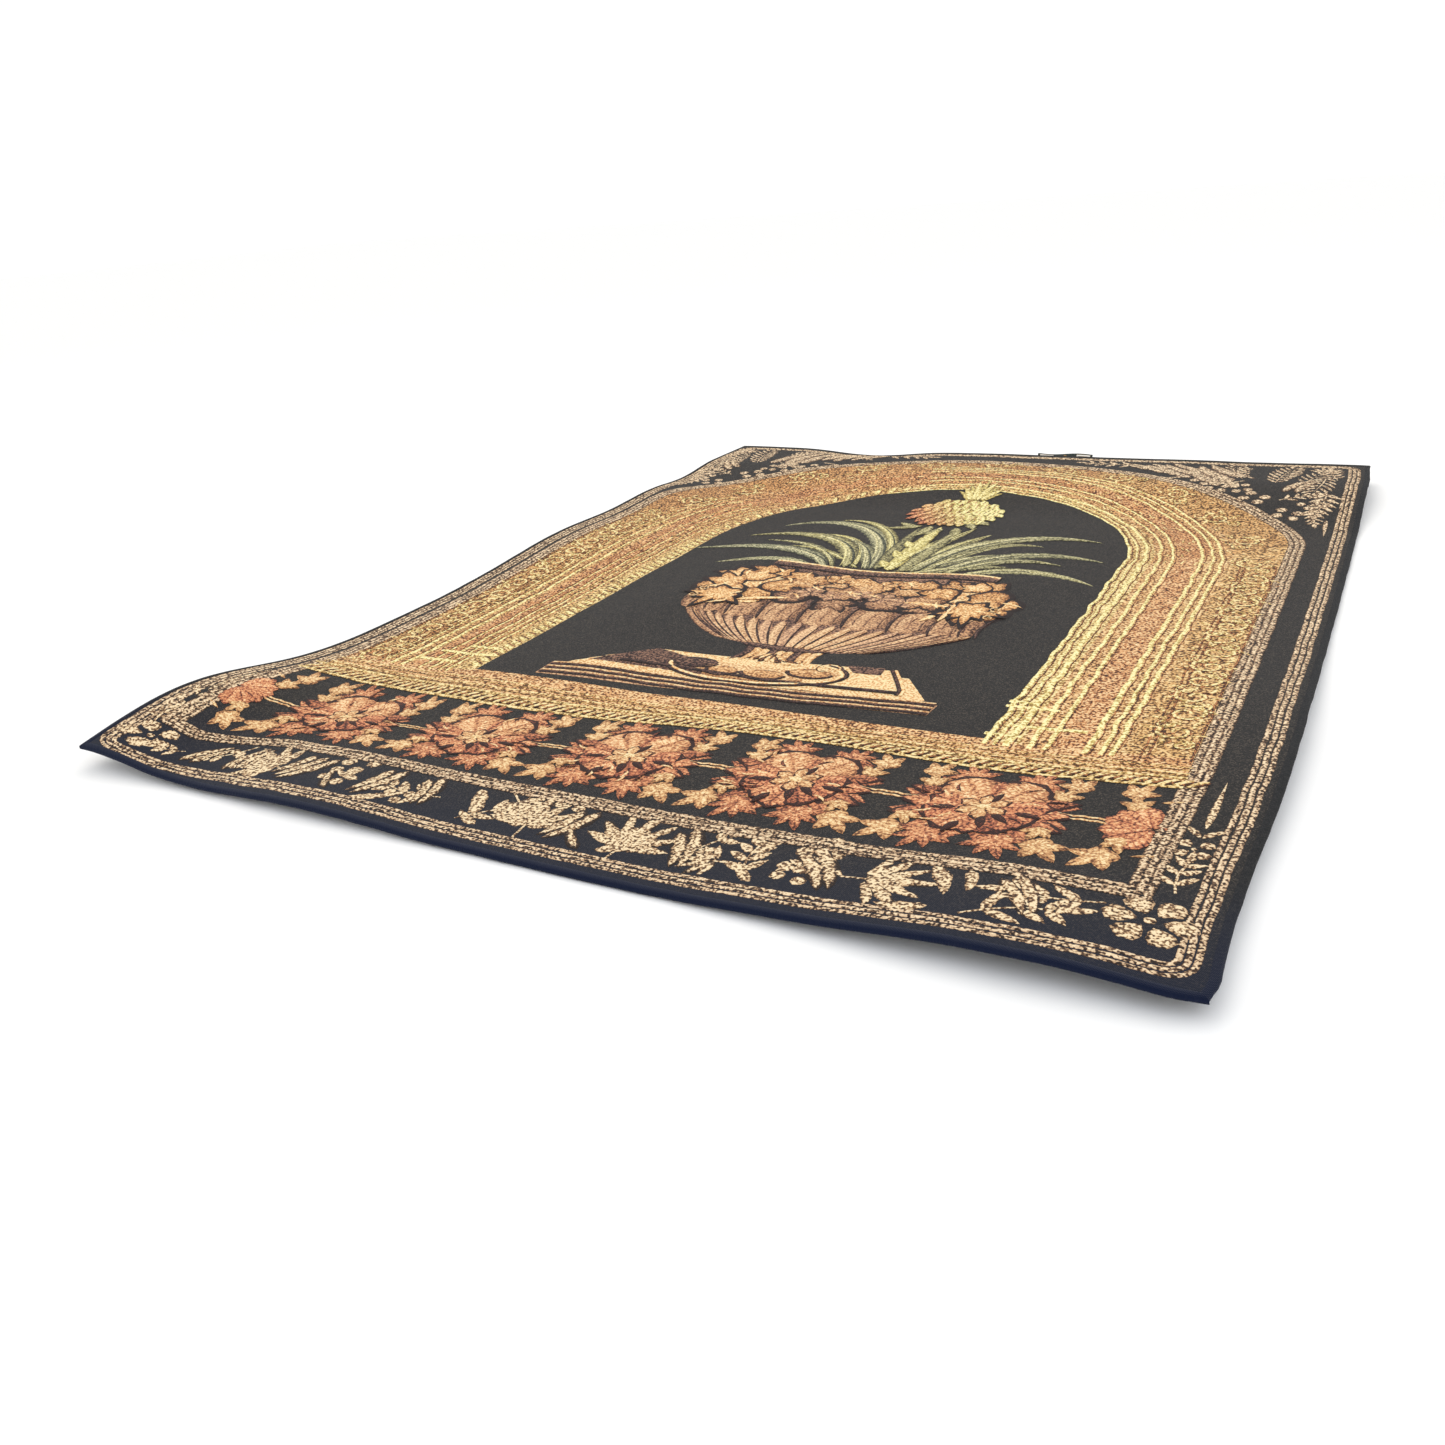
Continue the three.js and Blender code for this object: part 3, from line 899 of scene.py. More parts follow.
def addRosette(figure, x, y, size):
    # a full blown flower of rust and orange leaves round a gold heart
    luck = figure["luck"].random
    for i in range(12):
        angle = 30 * (i + 0.5)
        wide = 1.04 + 0.12 * abs(cos(radians(angle)))
        inked(figure, x, y, angle, size * wide, size * 0.22, (0.34 + 0.2 * luck(), 0.1, 0.9), bend=0.08,
              ripple=0.12)
    for side in (-1, 1):
        for k, (up, turn) in enumerate(((0.2, 14), (-0.18, -16), (0.02, 0))):
            angle = turn if side > 0 else 180 - turn
            inked(figure, x + side * size * 0.3, y + up * size, angle, size * 0.76, size * 0.19,
                  (0.34 + 0.1 * k, 0.1, 1), layer=2, ripple=0.15)
    for i, (angle, tone, share) in enumerate(garland["petals"]):
        root = off(x, y, angle, size * 0.06)
        long = size * (0.88 if i < 2 else 0.62 + 0.14 * luck())
        inked(figure, *root, angle, long, size * (0.36 if i < 2 else 0.25), (tone, share, 1), shape="petal",
              layer=3.4 if i < 8 else 2.8, ripple=0.1)
    for angle, far in garland["hollows"]:
        frond(figure, *off(x, y, angle, size * far), angle, size * 0.36, size * 0.07, (-0.2, 0, 0.4),
              layer=4.6)
    for i in range(6):
        angle = 30 + 60 * i + 10 * luck()
        inked(figure, x, y, angle, size * 0.34, size * 0.1, (0.66, 0.6, 0.6), shape="petal", layer=5, ink=1.8)
    for i in range(14):  # pale curls and dark hollows between the petals
        angle = 360 * luck()
        root = off(x, y, angle, size * (0.35 + 0.45 * luck()))
        dye = (0.78, 0.6, 0) if i % 2 else darkDye
        frond(figure, *root, angle + 40 - 80 * luck(), size * 0.26, 1.7, dye, bend=0.3, layer=4.6)
    frond(figure, x - size * 0.1, y, 0, size * 0.2, size * 0.09, (0.8, 0.9, 0), shape="seed", layer=6)


def addHoleLeaves(figure, x, y):
    # gold ivy round a pair of openings in the garland, and the bar of buds between them
    for side in (-1, 1):
        for up in (-1, 1):
            turn = 90 * up + side * up * (38 if up < 0 else -28)
            lobedLeaf(figure, x + side * 21, y + up * (55 if up > 0 else 50), turn, 22 if up > 0 else 28, ivy,
                      (0.72, 0.7, 0.8), layer=1)
            lobedLeaf(figure, x + side * 27, y + (34 if up > 0 else -26), 90 * up + 18 * side, 19, ivy,
                      (0.7, 0.75, 0.7), layer=2)
            frond(figure, x + side * 40, y + up * 44, 90 - 70 * side, 22, 2.0, (0.6, 0.8, 0), shape="spear",
                  layer=1)
        for up in (-2.6, 2.6):
            bar = [(x + side * 6 * k, y + 4 + up + sin(2 * k)) for k in range(8)]
            ribbon(figure, bar, 1.5, (0.7, 0.7, 0), layer=1)
        lobedLeaf(figure, x + side * 36, y + 4, 90 - 90 * side, 22, maple, (0.5, 0.2, 0.8), layer=1)


def addGarland(figure):
    luck = figure["luck"].random
    y = garland["height"]
    pitch = garland["pitch"]
    for i in range(garland["count"]):
        x = garland["first"] + pitch * i
        for side in (-1, 1):
            for up in (-1, 1):
                turn = 90 * up + 24 * side * up * -1
                lobedLeaf(figure, x + side * 26, y + up * (55 if up > 0 else 52), turn, 25 if up > 0 else 30,
                          maple, (0.6, 0.15, 1), layer=1.4)
        addRosette(figure, x, y, garland["reach"])
        addHoleLeaves(figure, x - pitch / 2, y)
    last = garland["first"] + pitch * (garland["count"] - 0.5)
    addHoleLeaves(figure, last, y)
    for x, side in ((garland["first"] - pitch * 0.84, 1), (last + 45, -1)):
        for turn in (-70, -40, -15, 15, 40, 70):  # the half flowers at both ends
            angle = turn if side > 0 else 180 - turn
            frond(figure, x, y, angle, 38, 11, (0.45 + 0.2 * luck(), 0.1, 1), shape="petal", layer=2)


# The golden surround
surround = {
    "foot": 300, "edge": 267,
    # along the arch from the left foot to the right one: where a part begins and ends, how much darker it
    # is, and what share of the yellow it keeps
    "parts": [(0.0, 0.3, 0.22, 0.7), (0.3, 0.55, 0.27, 0.45), (0.55, 0.68, 0.2, 0.7), (0.68, 1.0, 0.1, 0.8)],
    # bands of ground from the niche outwards: shares of the width, tone and share of yellow
    "bands": [(-0.01, 0.17, 0.56, 0.75), (0.17, 0.32, 0.5, 0.22), (0.32, 0.5, 0.52, 0.0),
              (0.5, 0.66, 0.5, 0.3), (0.66, 1.0, 0.4, 0.4)],
    # how far out from the niche each raised line runs, and its half width
    "rightLines": [(3, 2.6), (12, 1.6), (22, 3.4), (40, 2.6), (54, 2.4), (86, 2.8), (98, 2.2), (108, 2.6)],
    "leftLines": [(35, 2.2), (45, 1.6), (56, 2.2), (70, 1.6), (94, 3.2), (109, 3.2), (121, 1.5)],
    # short bright lines: middle and half length; lines along the sill: height, half width and tone
    "dashes": [(278, 392, 24), (268, 402, 14), (302, 352, 34), (270, 330, 16), (-330, 352, 34),
               (-350, 330, 26), (-318, 372, 22)],
    "sillLines": [(281, 1.6, 0.66), (286, 1.2, 0.05), (290, 1.8, 0.62), (296, 1.1, 0.1), (301, 1.4, 0.56)],
    "scroll": 145, "scrollPitch": 62, "scrollLines": (128, 133, 166), "notches": 58, "flecks": 260,
    # the sill's left end and width, and the rope's: left end, pitch, count, height and side lines
    "sill": (-466, 908), "rope": (-462, 10.5, 86, 265), "ropeLines": (264, 281),
}


def addField(figure):
    # the mottled ground of the surround, from the niche's edge out to the inner stripe, in bands of colour
    middle = niche["middle"]
    foot = surround["foot"]
    outer, radius, lean, spring = innerArch(-4)
    inside = archPath(niche["half"], 0, foot, gap=11)
    count = len(inside) - 1
    outside = []
    for i in range(count + 1):
        s = 3 * i / count
        if s < 1:
            outside.append((middle - outer, foot + (spring - foot) * s))
        elif s <= 2:
            turn = pi - lean - (pi - 2 * lean) * (s - 1)
            outside.append((middle + radius * cos(turn), niche["outerCentre"] + radius * sin(turn)))
        else:
            outside.append((middle + outer, spring - (spring - foot) * (s - 2)))
    last = len(surround["bands"]) - 1
    for n, (begin, end, tone, yellow) in enumerate(surround["bands"]):
        cells = max(2, round((end - begin) * 18))
        rows = []
        for i, (near, far) in enumerate(zip(inside, outside)):
            row = []
            for k in range(cells + 1):
                share = begin + (end - begin) * k / cells
                at = Vector(near).lerp(Vector(far), share)
                hidden = (n == 0 and k == 0) or (n == last and k == cells)
                row.append((at.x, at.y, drawing["sunkEdge"] if hidden else 0.16 + 0.05 * (n % 2), share,
                            11 * i, 0))
            rows.append(row)
        for start, stop, less, duller in surround["parts"]:
            begun, ended = round(start * count), round(stop * count)
            loft(figure, rows[begun:ended + 1], (tone - less, yellow * duller, 0), wide=True)
    sill = []
    rise = niche["floor"] - surround["edge"]
    left, wide = surround["sill"]
    for i in range(84):
        x = left + wide * i / 83
        sill.append([(x, surround["edge"] + rise * k / 6, drawing["sunkEdge"] if k in (0, 6) else 0.26, k / 6,
                      11 * i, 0) for k in range(7)])
    loft(figure, sill, (0.42, 0.08, 0), wide=True)


def addMoulding(figure, reach, out, half, dye, taper, order, whole, part):
    # a bright line and a dark one beside it; whole and part say how much of the arch they follow
    foot = surround["foot"] + 8
    ribbon(figure, archPath(reach, out, foot, **whole)[::order], half, dye, layer=1, taper=taper, wander=3.0)
    ribbon(figure, archPath(reach, out + half + 1.2, foot, **part)[::order], 0.9, dimDye, layer=0.7,
           taper=0.2, wander=3.0)


def addMouldings(figure):
    bright = (0.78, 1.0, 0)
    for out, half in surround["rightLines"]:
        addMoulding(figure, niche["half"] - 2, out, half, bright, 0.45, -1,
                    {"start": 1.42 if out > 20 else 1.35}, {"start": 1.7})
    for out, half in surround["leftLines"]:
        addMoulding(figure, niche["half"], out, half, (0.66, 1.0, 0), 0.6, 1, {"end": 1.15}, {"end": 0.9})
    for x, y, wide in surround["dashes"]:
        ribbon(figure, [(x - wide + wide * k / 3, y) for k in range(7)], 3.2, bright, layer=1, wander=2.0)
    for y, half, tone in surround["sillLines"]:
        path = [(-462 + 9 * k, y + 2 * sin(k / 9)) for k in range(100)]
        ribbon(figure, path, half, (tone, 0.5, 0), layer=1, wander=1.5)
    path = archPath(niche["half"], 0, niche["floor"], gap=15.6, end=1.5)
    for k in range(surround["notches"]):  # the notched trim along the niche's left side and over the top
        (x, y), (nx, ny) = path[k], path[k + 1]
        lean = slope(nx - x, ny - y)
        frond(figure, *off(x, y, lean, 2, 3), lean + 62, 22, 4.4, (0.66, 0.9, 0.4), shape="reed", layer=1)
        frond(figure, *off(x, y, lean, 7, 4), lean + 62, 19, 1.6, dimDye, shape="reed", layer=1)


def addRope(figure):
    # a twisted edging along the foot of the surround
    left, pitch, count, y = surround["rope"]
    for k in range(count):
        x = left + pitch * k
        dip = 3 * sin(k / 7)
        frond(figure, x, y + dip, 42, 20, 4.2, (0.66, 0.6, 0.1), shape="reed", layer=2)
        frond(figure, x + 5.6, y + 1 + dip, 42, 15, 2.0, darkDye, shape="reed", layer=3)
    for y in surround["ropeLines"]:
        ribbon(figure, [(-464 + 9.5 * k, y + 3 * sin(k * 9.5 / 73)) for k in range(95)], 2.2, (0.6, 0.6, 0),
               layer=2, wander=1.0)


def curl(figure, x, y, angle, size, hand, dye, layer=1):
    # a tapering scroll that winds in
    path = []
    for k in range(15):
        t = k / 14
        turn = radians(angle) + hand * t * 2 * pi * 1.25
        out = size * (1 - 0.82 * t)
        path.append((x + out * cos(turn), y + out * sin(turn)))
    ribbon(figure, path, size * 0.16, dye, layer, taper=0.5)
    if size > 8:  # a dark line along its outer side
        shadow = [(x + (px - x) * 1.18, y + (py - y) * 1.18) for px, py in path[:10]]
        ribbon(figure, shadow, size * 0.08, darkDye, layer, taper=0.5)


def addScrolls(figure):
    # acanthus scrolls that follow one another round the outside of the surround
    luck = figure["luck"].random
    middle = niche["middle"]
    spring = niche["spring"]
    half = niche["half"]
    path = archPath(half, surround["scroll"], surround["foot"] + 25, gap=surround["scrollPitch"])
    for i, ((x, y), (nx, ny)) in enumerate(zip(path, path[1:])):
        away = atan2(y - spring, x - middle)
        if y > spring:  # the band narrows over the arch, so the scrolls draw in
            x, y = x - 6 * cos(away), y - 10 * sin(away)
        lean = slope(nx - x, ny - y)
        hand = 1 if i % 2 else -1
        tone = 0.56 + 0.14 * luck()
        curl(figure, x, y, lean + 180, 19, hand, (tone, 0.75, 0))
        curl(figure, *off(x, y, lean, 26, 9 * hand), lean + 150 * hand, 10, -hand, (tone, 0.9, 0))
        for k in range(7):
            turn = lean + 52 * k + 20 * luck()
            root = off(x, y, turn, 15)
            frond(figure, *root, turn + 50 * hand, 13 + 8 * luck(), 2.6, (tone, 0.6, 0.2), bend=0.25,
                  shape="reed", layer=1)
        for k in range(9):
            root = off(x, y, 360 * luck(), 30 * luck())
            frond(figure, *root, 360 * luck(), 12, 1.7, (0.06, 0, 0), bend=0.2, layer=0.8)
    for out in surround["scrollLines"]:
        for part, order in (({"start": 0, "end": 1.02}, 1), ({"start": 1.98}, -1)):
            line = archPath(half, out, surround["foot"] + 4, gap=9, **part)[::order]
            ribbon(figure, line, 1.0, (0.08, 0, 0), layer=1, wander=2.0)
    for k in range(surround["flecks"]):  # loose flecks of gold all over the arch
        s = 1 + luck()
        turn = pi * (2 - s)
        out = 20 + 118 * luck()
        x = middle + (half + out) * cos(turn)
        y = spring + (niche["rise"] + 0.93 * out) * sin(turn)
        far = hypot(x - middle, y - niche["outerCentre"])
        if far < frameLines["innerRadius"] - 14 and abs(x - middle) < 430:
            lean = slope(x - middle, y - spring) + 90
            frond(figure, x, y, lean + 60 * luck() - 30, 10 + 10 * luck(), 1.6,
                  (0.35 + 0.4 * luck(), 0.6, 0), bend=0.2, layer=1)


# The urn
urn = {
    "axis": -2,
    # height and half width of the bowl
    "bowl": [(468, 46), (478, 84), (490, 112), (510, 138), (535, 158), (560, 172), (590, 182), (620, 186),
             (650, 182), (680, 172), (705, 158), (725, 145), (740, 138), (748, 135)],
    "waist": 556, "shoulder": 632, "rim": 736, "handles": [(-1, -154, 604), (1, 142, 628)],
    # rows of leaves: height, count and size; their pale stems: x, y, length and angle
    "leafRows": [(632, 9, 42), (660, 10, 44), (688, 10, 42), (712, 10, 32)],
    "stems": [(-128, 596, 66, 22), (62, 640, 62, -6), (110, 612, 30, 250), (-100, 600, 28, 200)],
    # the round stones on the foot: x, y, half length and tone
    "knobs": [(-72, 405, 26, 0.15), (-34, 393, 18, 0.5), (10, 395, 24, 0.54), (54, 410, 24, 0.5)],
    # the plinth's patches: corners, dye, layer and cells
    "slabs": [([(-216, 352), (194, 372), (150, 432), (-132, 424)], (0.72, 0.85, 0), 0, (26, 6)),
              ([(-182, 372), (-40, 376), (-92, 418), (-128, 424)], (0.1, 0, 0), 1, (12, 5)),
              ([(-172, 385), (152, 384), (130, 442), (-122, 424)], (0.74, 0.9, 0), 1, (24, 6)),
              ([(-172, 382), (-60, 378), (-90, 416), (-128, 424)], (0.12, 0, 0), 2, (12, 5)),
              ([(-216, 326), (194, 350), (196, 374), (-216, 354)], (0.52, 0.15, 0), 1, (28, 4))],
    "shade": ([(92, 424), (120, 426), (118, 444), (80, 440)], (0.14, 0, 0), 3, (6, 3)),
    "slabEnd": [(126, 442), (134, 428), (143, 412), (151, 396), (152, 384)],
}


def bowlHalf(y):
    for (low, a), (high, b) in zip(urn["bowl"], urn["bowl"][1:]):
        if y <= high:
            step = smoothStep((y - low) / (high - low))
            return a + (b - a) * step * 0.5 + (b - a) * (y - low) / (high - low) * 0.5
    return urn["bowl"][-1][1]


def acrossBowl(share, y):
    # a place on the bowl at a share of its half width, drawn in perspective
    return urn["axis"] + bowlHalf(y) * sin(share * pi / 2), y - 9 * cos(share * pi / 2)


def addUrnBody(figure):
    rows = []
    for k in range(27):
        y = 468 + 280 * k / 26
        half = bowlHalf(y)
        row = []
        for _, u in evenly(31):
            up = drawing["sunkEdge"] if abs(u) == 1 or k in (0, 26) else 0.18
            row.append((urn["axis"] + u * half, y - 7 * cos(u * pi / 2), up, u, 10 * k, abs(u) ** 8))
        rows.append(row)
    loft(figure, rows, (0.24, 0, 0), wide=True)


def addFlutes(figure):
    # the lower bowl's flutes spread up from its foot; the shoulder's are full and rounded
    luck = figure["luck"].random
    for _, even in evenly(27):
        share = even * 0.97
        foot = acrossBowl(share * 0.9, 480)
        bend = acrossBowl(share, 520)
        top = acrossBowl(share, urn["waist"] + 2)
        tone = 0.34 + 0.26 * cos(share * 1.4) + 0.24 * luck()
        blade(figure, [foot, bend, top], 8.2 * cos(share * 1.3) + 1.4, (tone, 0.45 * luck(), 0.25),
              "reed", layer=1)
        blade(figure, [off(*foot, 0, 5), off(*bend, 0, 5), off(*top, 0, 6)], 1.6, darkDye, "spear", layer=2)
    for _, even in evenly(9):
        share = even * 0.82
        foot = acrossBowl(share, urn["waist"] - 6)
        top = acrossBowl(share * 0.98, urn["shoulder"] + 4)
        wide = 27 * cos(share * 1.25) + 3
        blade(figure, [foot, off(*foot, 90, 44, 12), top], wide, (0.5 + 0.1 * cos(share * 2), 0.3, 0.3),
              "reed", layer=1)
        for n in (-1, 0, 1):
            root = off(*foot, 90, 12, -n * wide * 0.5)
            blade(figure, [root, off(*root, 90, 26, 8), off(*root, 90, 48, 0)], 1.5, (0.3, 0.2, 0), "spear",
                  layer=2)
        root = off(*foot, 0, wide)
        blade(figure, [root, off(*root, 90, 40, 14), off(*top, 0, wide * 0.9)], 2.4, darkDye, "spear",
              layer=2)


def addFrieze(figure):
    # a wreath of pale leaves and orange blossom round the upper bowl
    luck = figure["luck"].random
    for row, (y, count, size) in enumerate(urn["leafRows"]):
        for k in range(count):
            share = (2 * (k + 0.5 * (row % 2)) / (count - 0.5) - 1) * 0.82
            x, up = acrossBowl(share, y + 8 * (luck() - 0.5))
            orange = abs(share) < 0.36 and row < 3
            yellow = 0.3 + 0.22 * row if orange else 1.0
            tone = 0.5 + 0.08 * row if orange else 0.52 + 0.3 * luck()
            turn = 360 * luck()
            layer = 1 + 1.2 * ((k + row) % 2)
            lobedLeaf(figure, x, up, turn, size * 1.1, ivy, darkDye, layer=layer, valley=0.55)
            lobedLeaf(figure, x, up, turn, size * 0.92, ivy, (tone, yellow, 0.9), layer=layer + 0.6,
                      valley=0.5)
    for k in range(10):
        x = urn["axis"] - 68 + 15 * k
        low = k % 2
        for n in range(5):
            turn = 72 * n + 40 * k
            inked(figure, x, 690 - 50 * low + 6 * (k % 3), turn, 19, 7, (0.62, 0.1 if low else 0.9, 0.6),
                  shape="petal", layer=3.6, ink=1.8)
    for k in range(24):  # pale edges and stems
        share = (2 * luck() - 1) * 0.82
        at = acrossBowl(share, 618 + 110 * luck())
        frond(figure, *at, 360 * luck(), 20 + 10 * luck(), 2.2, (0.9, 1.0, 0), bend=0.2, layer=4)
    for x, y, far, turn in urn["stems"]:
        frond(figure, x, y, turn, far, 4.6, (0.85, 1.0, 0.3), bend=0.12, shape="reed", layer=4)


def addHandles(figure):
    # a drooping leaf with small curls at each side
    for side, x, y in urn["handles"]:
        lobedLeaf(figure, x, y, 268 + 10 * side, 60, droop, darkDye, layer=5.5)
        lobedLeaf(figure, x, y, 268 + 10 * side, 52, droop, (0.68, 1.0, 0.3), layer=6)
        for k in range(3):
            curl(figure, x + side * 27, y + 10 - 13 * k, 90, 7, side, (0.8, 0.8, 0), layer=6)
            turn = 250 + 20 * side
            frond(figure, x - side * 22, y - 8 + 14 * k, turn, 34, 3.0, (0.88, 1, 0), bend=0.1, layer=6)
            frond(figure, x - side * 26, y - 12 + 14 * k, turn, 28, 1.6, darkDye, bend=0.1, layer=6)


def addFoot(figure):
    axis = urn["axis"]
    for k, share in evenly(9):  # the fluted stem
        dye = (0.72 - 0.1 * (k % 2), 0.85, 0) if k % 3 else (0.12, 0, 0)
        blade(figure, [(axis + 44 * share, 474), (axis + 26 * share, 452), (axis + 46 * share, 420)],
              5.4, dye, "reed", layer=1)
    blade(figure, [(axis - 52, 470), (axis, 462), (axis + 50, 470)], 7, (0.14, 0, 0), "reed", layer=2)
    blade(figure, [(axis - 92, 410), (axis, 380), (axis + 88, 416)], 26, (0.66, 0.7, 0), "seed", layer=1)
    for x, y, wide, tone in urn["knobs"]:
        blade(figure, [(axis + x - wide, y), (axis + x, y - 3), (axis + x + wide, y + 4)], 13,
              (tone, 0.8 if tone > 0.2 else 0, 0), "seed", layer=2)
        ribbon(figure,
               [(axis + x + wide * cos(pi + pi * n / 8), y + 13 * sin(pi + pi * n / 8)) for n in range(9)],
               2.2, darkDye, layer=3)
    for wide, tall, dye in ((97, 38, darkDye), (92, 34, (0.9, 1.0, 0))):
        ring = [(axis - 4 + wide * cos(pi * n / 16), 404 + 6 * cos(pi * n / 16) + tall * sin(pi * n / 16))
                for n in range(-16, 5)]
        ribbon(figure, ring, 2.4, dye, layer=3, wander=1.0)
    for k in range(12):
        turn = 30 * k
        frond(figure, axis - 18 + 5 * k, 428 + 4 * sin(k * 2), 60 + turn / 3, 20, 3.4,
              (0.8 * (k % 2), 0.9, 0), bend=0.2, layer=3)
    curl(figure, axis + 66, 425, 0, 14, 1, (0.76, 0.9, 0), layer=3)


def addSlab(figure, corners, dye, layer, cells):
    # a four-cornered patch: front left, front right, back right, back left
    frontLeft, frontRight, backRight, backLeft = (Vector(corner) for corner in corners)
    rows = []
    for i in range(cells[0] + 1):
        front = frontLeft.lerp(frontRight, i / cells[0])
        back = backLeft.lerp(backRight, i / cells[0])
        row = []
        for k in range(cells[1] + 1):
            at = front.lerp(back, k / cells[1])
            edge = i in (0, cells[0]) or k in (0, cells[1])
            up = layer * drawing["layer"] + (drawing["sunkEdge"] if edge else 0.2)
            row.append((at.x, at.y, up, k / cells[1], 8 * i, 0))
        rows.append(row)
    loft(figure, rows, dye, wide=True)


def addUrn(figure):
    for slab in urn["slabs"]:
        addSlab(figure, *slab)
    for k in range(3):
        y = 330 + 9.5 * k
        path = [(-214 + 408 * n / 40, y + 20 * n / 40 + 3 * sin(n / 5)) for n in range(41)]
        ribbon(figure, path, 2.8, darkDye, layer=2, wander=2.0)
        ribbon(figure, [(x, up + 5) for x, up in path], 1.6, (0.78, 0.6, 0), layer=2, wander=2.0)
    line = [(-150 + 302 * n / 30, 381 + 6 * n / 30 + 3 * sin(n / 4)) for n in range(31)]
    ribbon(figure, line, 3.4, darkDye, layer=3, wander=1.5)
    addSlab(figure, *urn["shade"])
    for aside, half, dye in ((0, 2.2, darkDye), (4, 1.8, (0.85, 1.0, 0))):
        ribbon(figure, [(x + aside, y) for x, y in urn["slabEnd"]], half, dye, layer=3)
    addFoot(figure)
    addUrnBody(figure)
    addFlutes(figure)
    addFrieze(figure)
    addHandles(figure)
    rim = [(urn["axis"] - 146 + 290 * n / 36, urn["rim"] + 3 + 6 * sin(n / 4.4 + 1.2)) for n in range(37)]
    ribbon(figure, rim, 10, (0.2, 0, 0), layer=3)
    ribbon(figure, [(x, y + 8.5) for x, y in rim], 2.6, (0.95, 1.0, 0), layer=4, wander=1.5)


# The pineapple plant
plant = {
    # the points that pull each long leaf from root to tip, its half width, and its share of straw yellow
    "leaves": [
        ([(-26, 752), (-40, 905), (-135, 1010), (-218, 912)], 17, 0.15),
        ([(-16, 756), (-26, 900), (-95, 985), (-150, 962)], 9, 0.75),
        ([(-58, 750), (-75, 860), (-150, 920), (-242, 852)], 16, 0.55),
        ([(-48, 752), (-60, 850), (-100, 905), (-160, 886)], 8, 0.95),
        ([(-72, 748), (-110, 838), (-165, 850), (-208, 838)], 8, 0.4),
        ([(-82, 744), (-120, 830), (-210, 820), (-286, 776)], 14, 0.1),
        ([(-98, 742), (-140, 790), (-190, 750), (-226, 722)], 10, 0.2),
        ([(-40, 752), (-90, 810), (-130, 830), (-166, 822)], 7, 0.7),
        ([(28, 752), (40, 880), (120, 945), (220, 920)], 17, 0.35),
        ([(40, 752), (62, 860), (105, 905), (156, 884)], 11, 0.5),
        ([(58, 750), (86, 838), (170, 870), (242, 840)], 14, 0.25),
        ([(70, 750), (95, 810), (150, 835), (197, 812)], 10, 0.35),
        ([(86, 746), (120, 788), (190, 795), (248, 752)], 13, 0.4),
        ([(14, 756), (30, 850), (60, 900), (75, 930)], 12, 0.6),
        ([(-4, 756), (2, 850), (30, 890), (46, 960)], 13, 0.7),
        ([(10, 750), (60, 800), (80, 830), (112, 842)], 14, 0.3),
        ([(-30, 750), (-52, 830), (-70, 850), (-100, 872)], 12, 0.2),
        ([(30, 748), (70, 776), (100, 790), (140, 790)], 12, 0.45),
    ],
    # the upright stems: x, top, half width and tone; the small leaves under the fruit: x, y, angle and length
    "stems": [(-24, 948, 10, 0.3), (22, 950, 11, 0.45), (-2, 956, 12, 0.7)],
    "bracts": [(-30, 958, 205, 52), (-34, 950, 150, 36), (22, 985, 300, 42), (34, 992, 320, 30),
               (0, 950, 250, 40), (18, 955, 280, 52), (-18, 960, 262, 60)],
    "fruit": (-6, 1028), "fruitHalf": (58, 60), "crown": 1084,
}


def addPlant(figure):
    luck = figure["luck"].random
    for n, (spine, half, straw) in enumerate(plant["leaves"]):
        half *= 0.95
        blade(figure, spine, half, (0.46 + 0.14 * luck(), straw * 0.7, 0.5), "leaf", layer=n % 3, ripple=0.1)
        for aside, tone, share in ((0.4, 0.74, 1.0), (-0.45, 0.08, 0), (0.0, 0.7, 0.6)):
            inner = [off(x, y, 90, 0, aside * half * (1 - k / 3)) for k, (x, y) in enumerate(spine)]
            blade(figure, inner, half * 0.14, (tone, min(1, straw + 0.2) * share, 0), "spear",
                  layer=n % 3 + 1)
    for x, top, half, tone in plant["stems"]:
        blade(figure, [(x * 0.7, 752), (x, 850), (x * 1.2, top)], half,
              (tone, 0.9 if tone > 0.6 else 0.35, 0.5), "reed", layer=3)
    for k in range(6):
        frond(figure, -6, 872 - 22 * k, 70 + 50 * (k % 2), 34, 8, (0.66, 0.95, 0.4), layer=4)
    for x, y, turn, far in plant["bracts"]:
        frond(figure, x, y, turn, far, 8, (0.5, 0.4, 0.5), bend=0.1, layer=3)


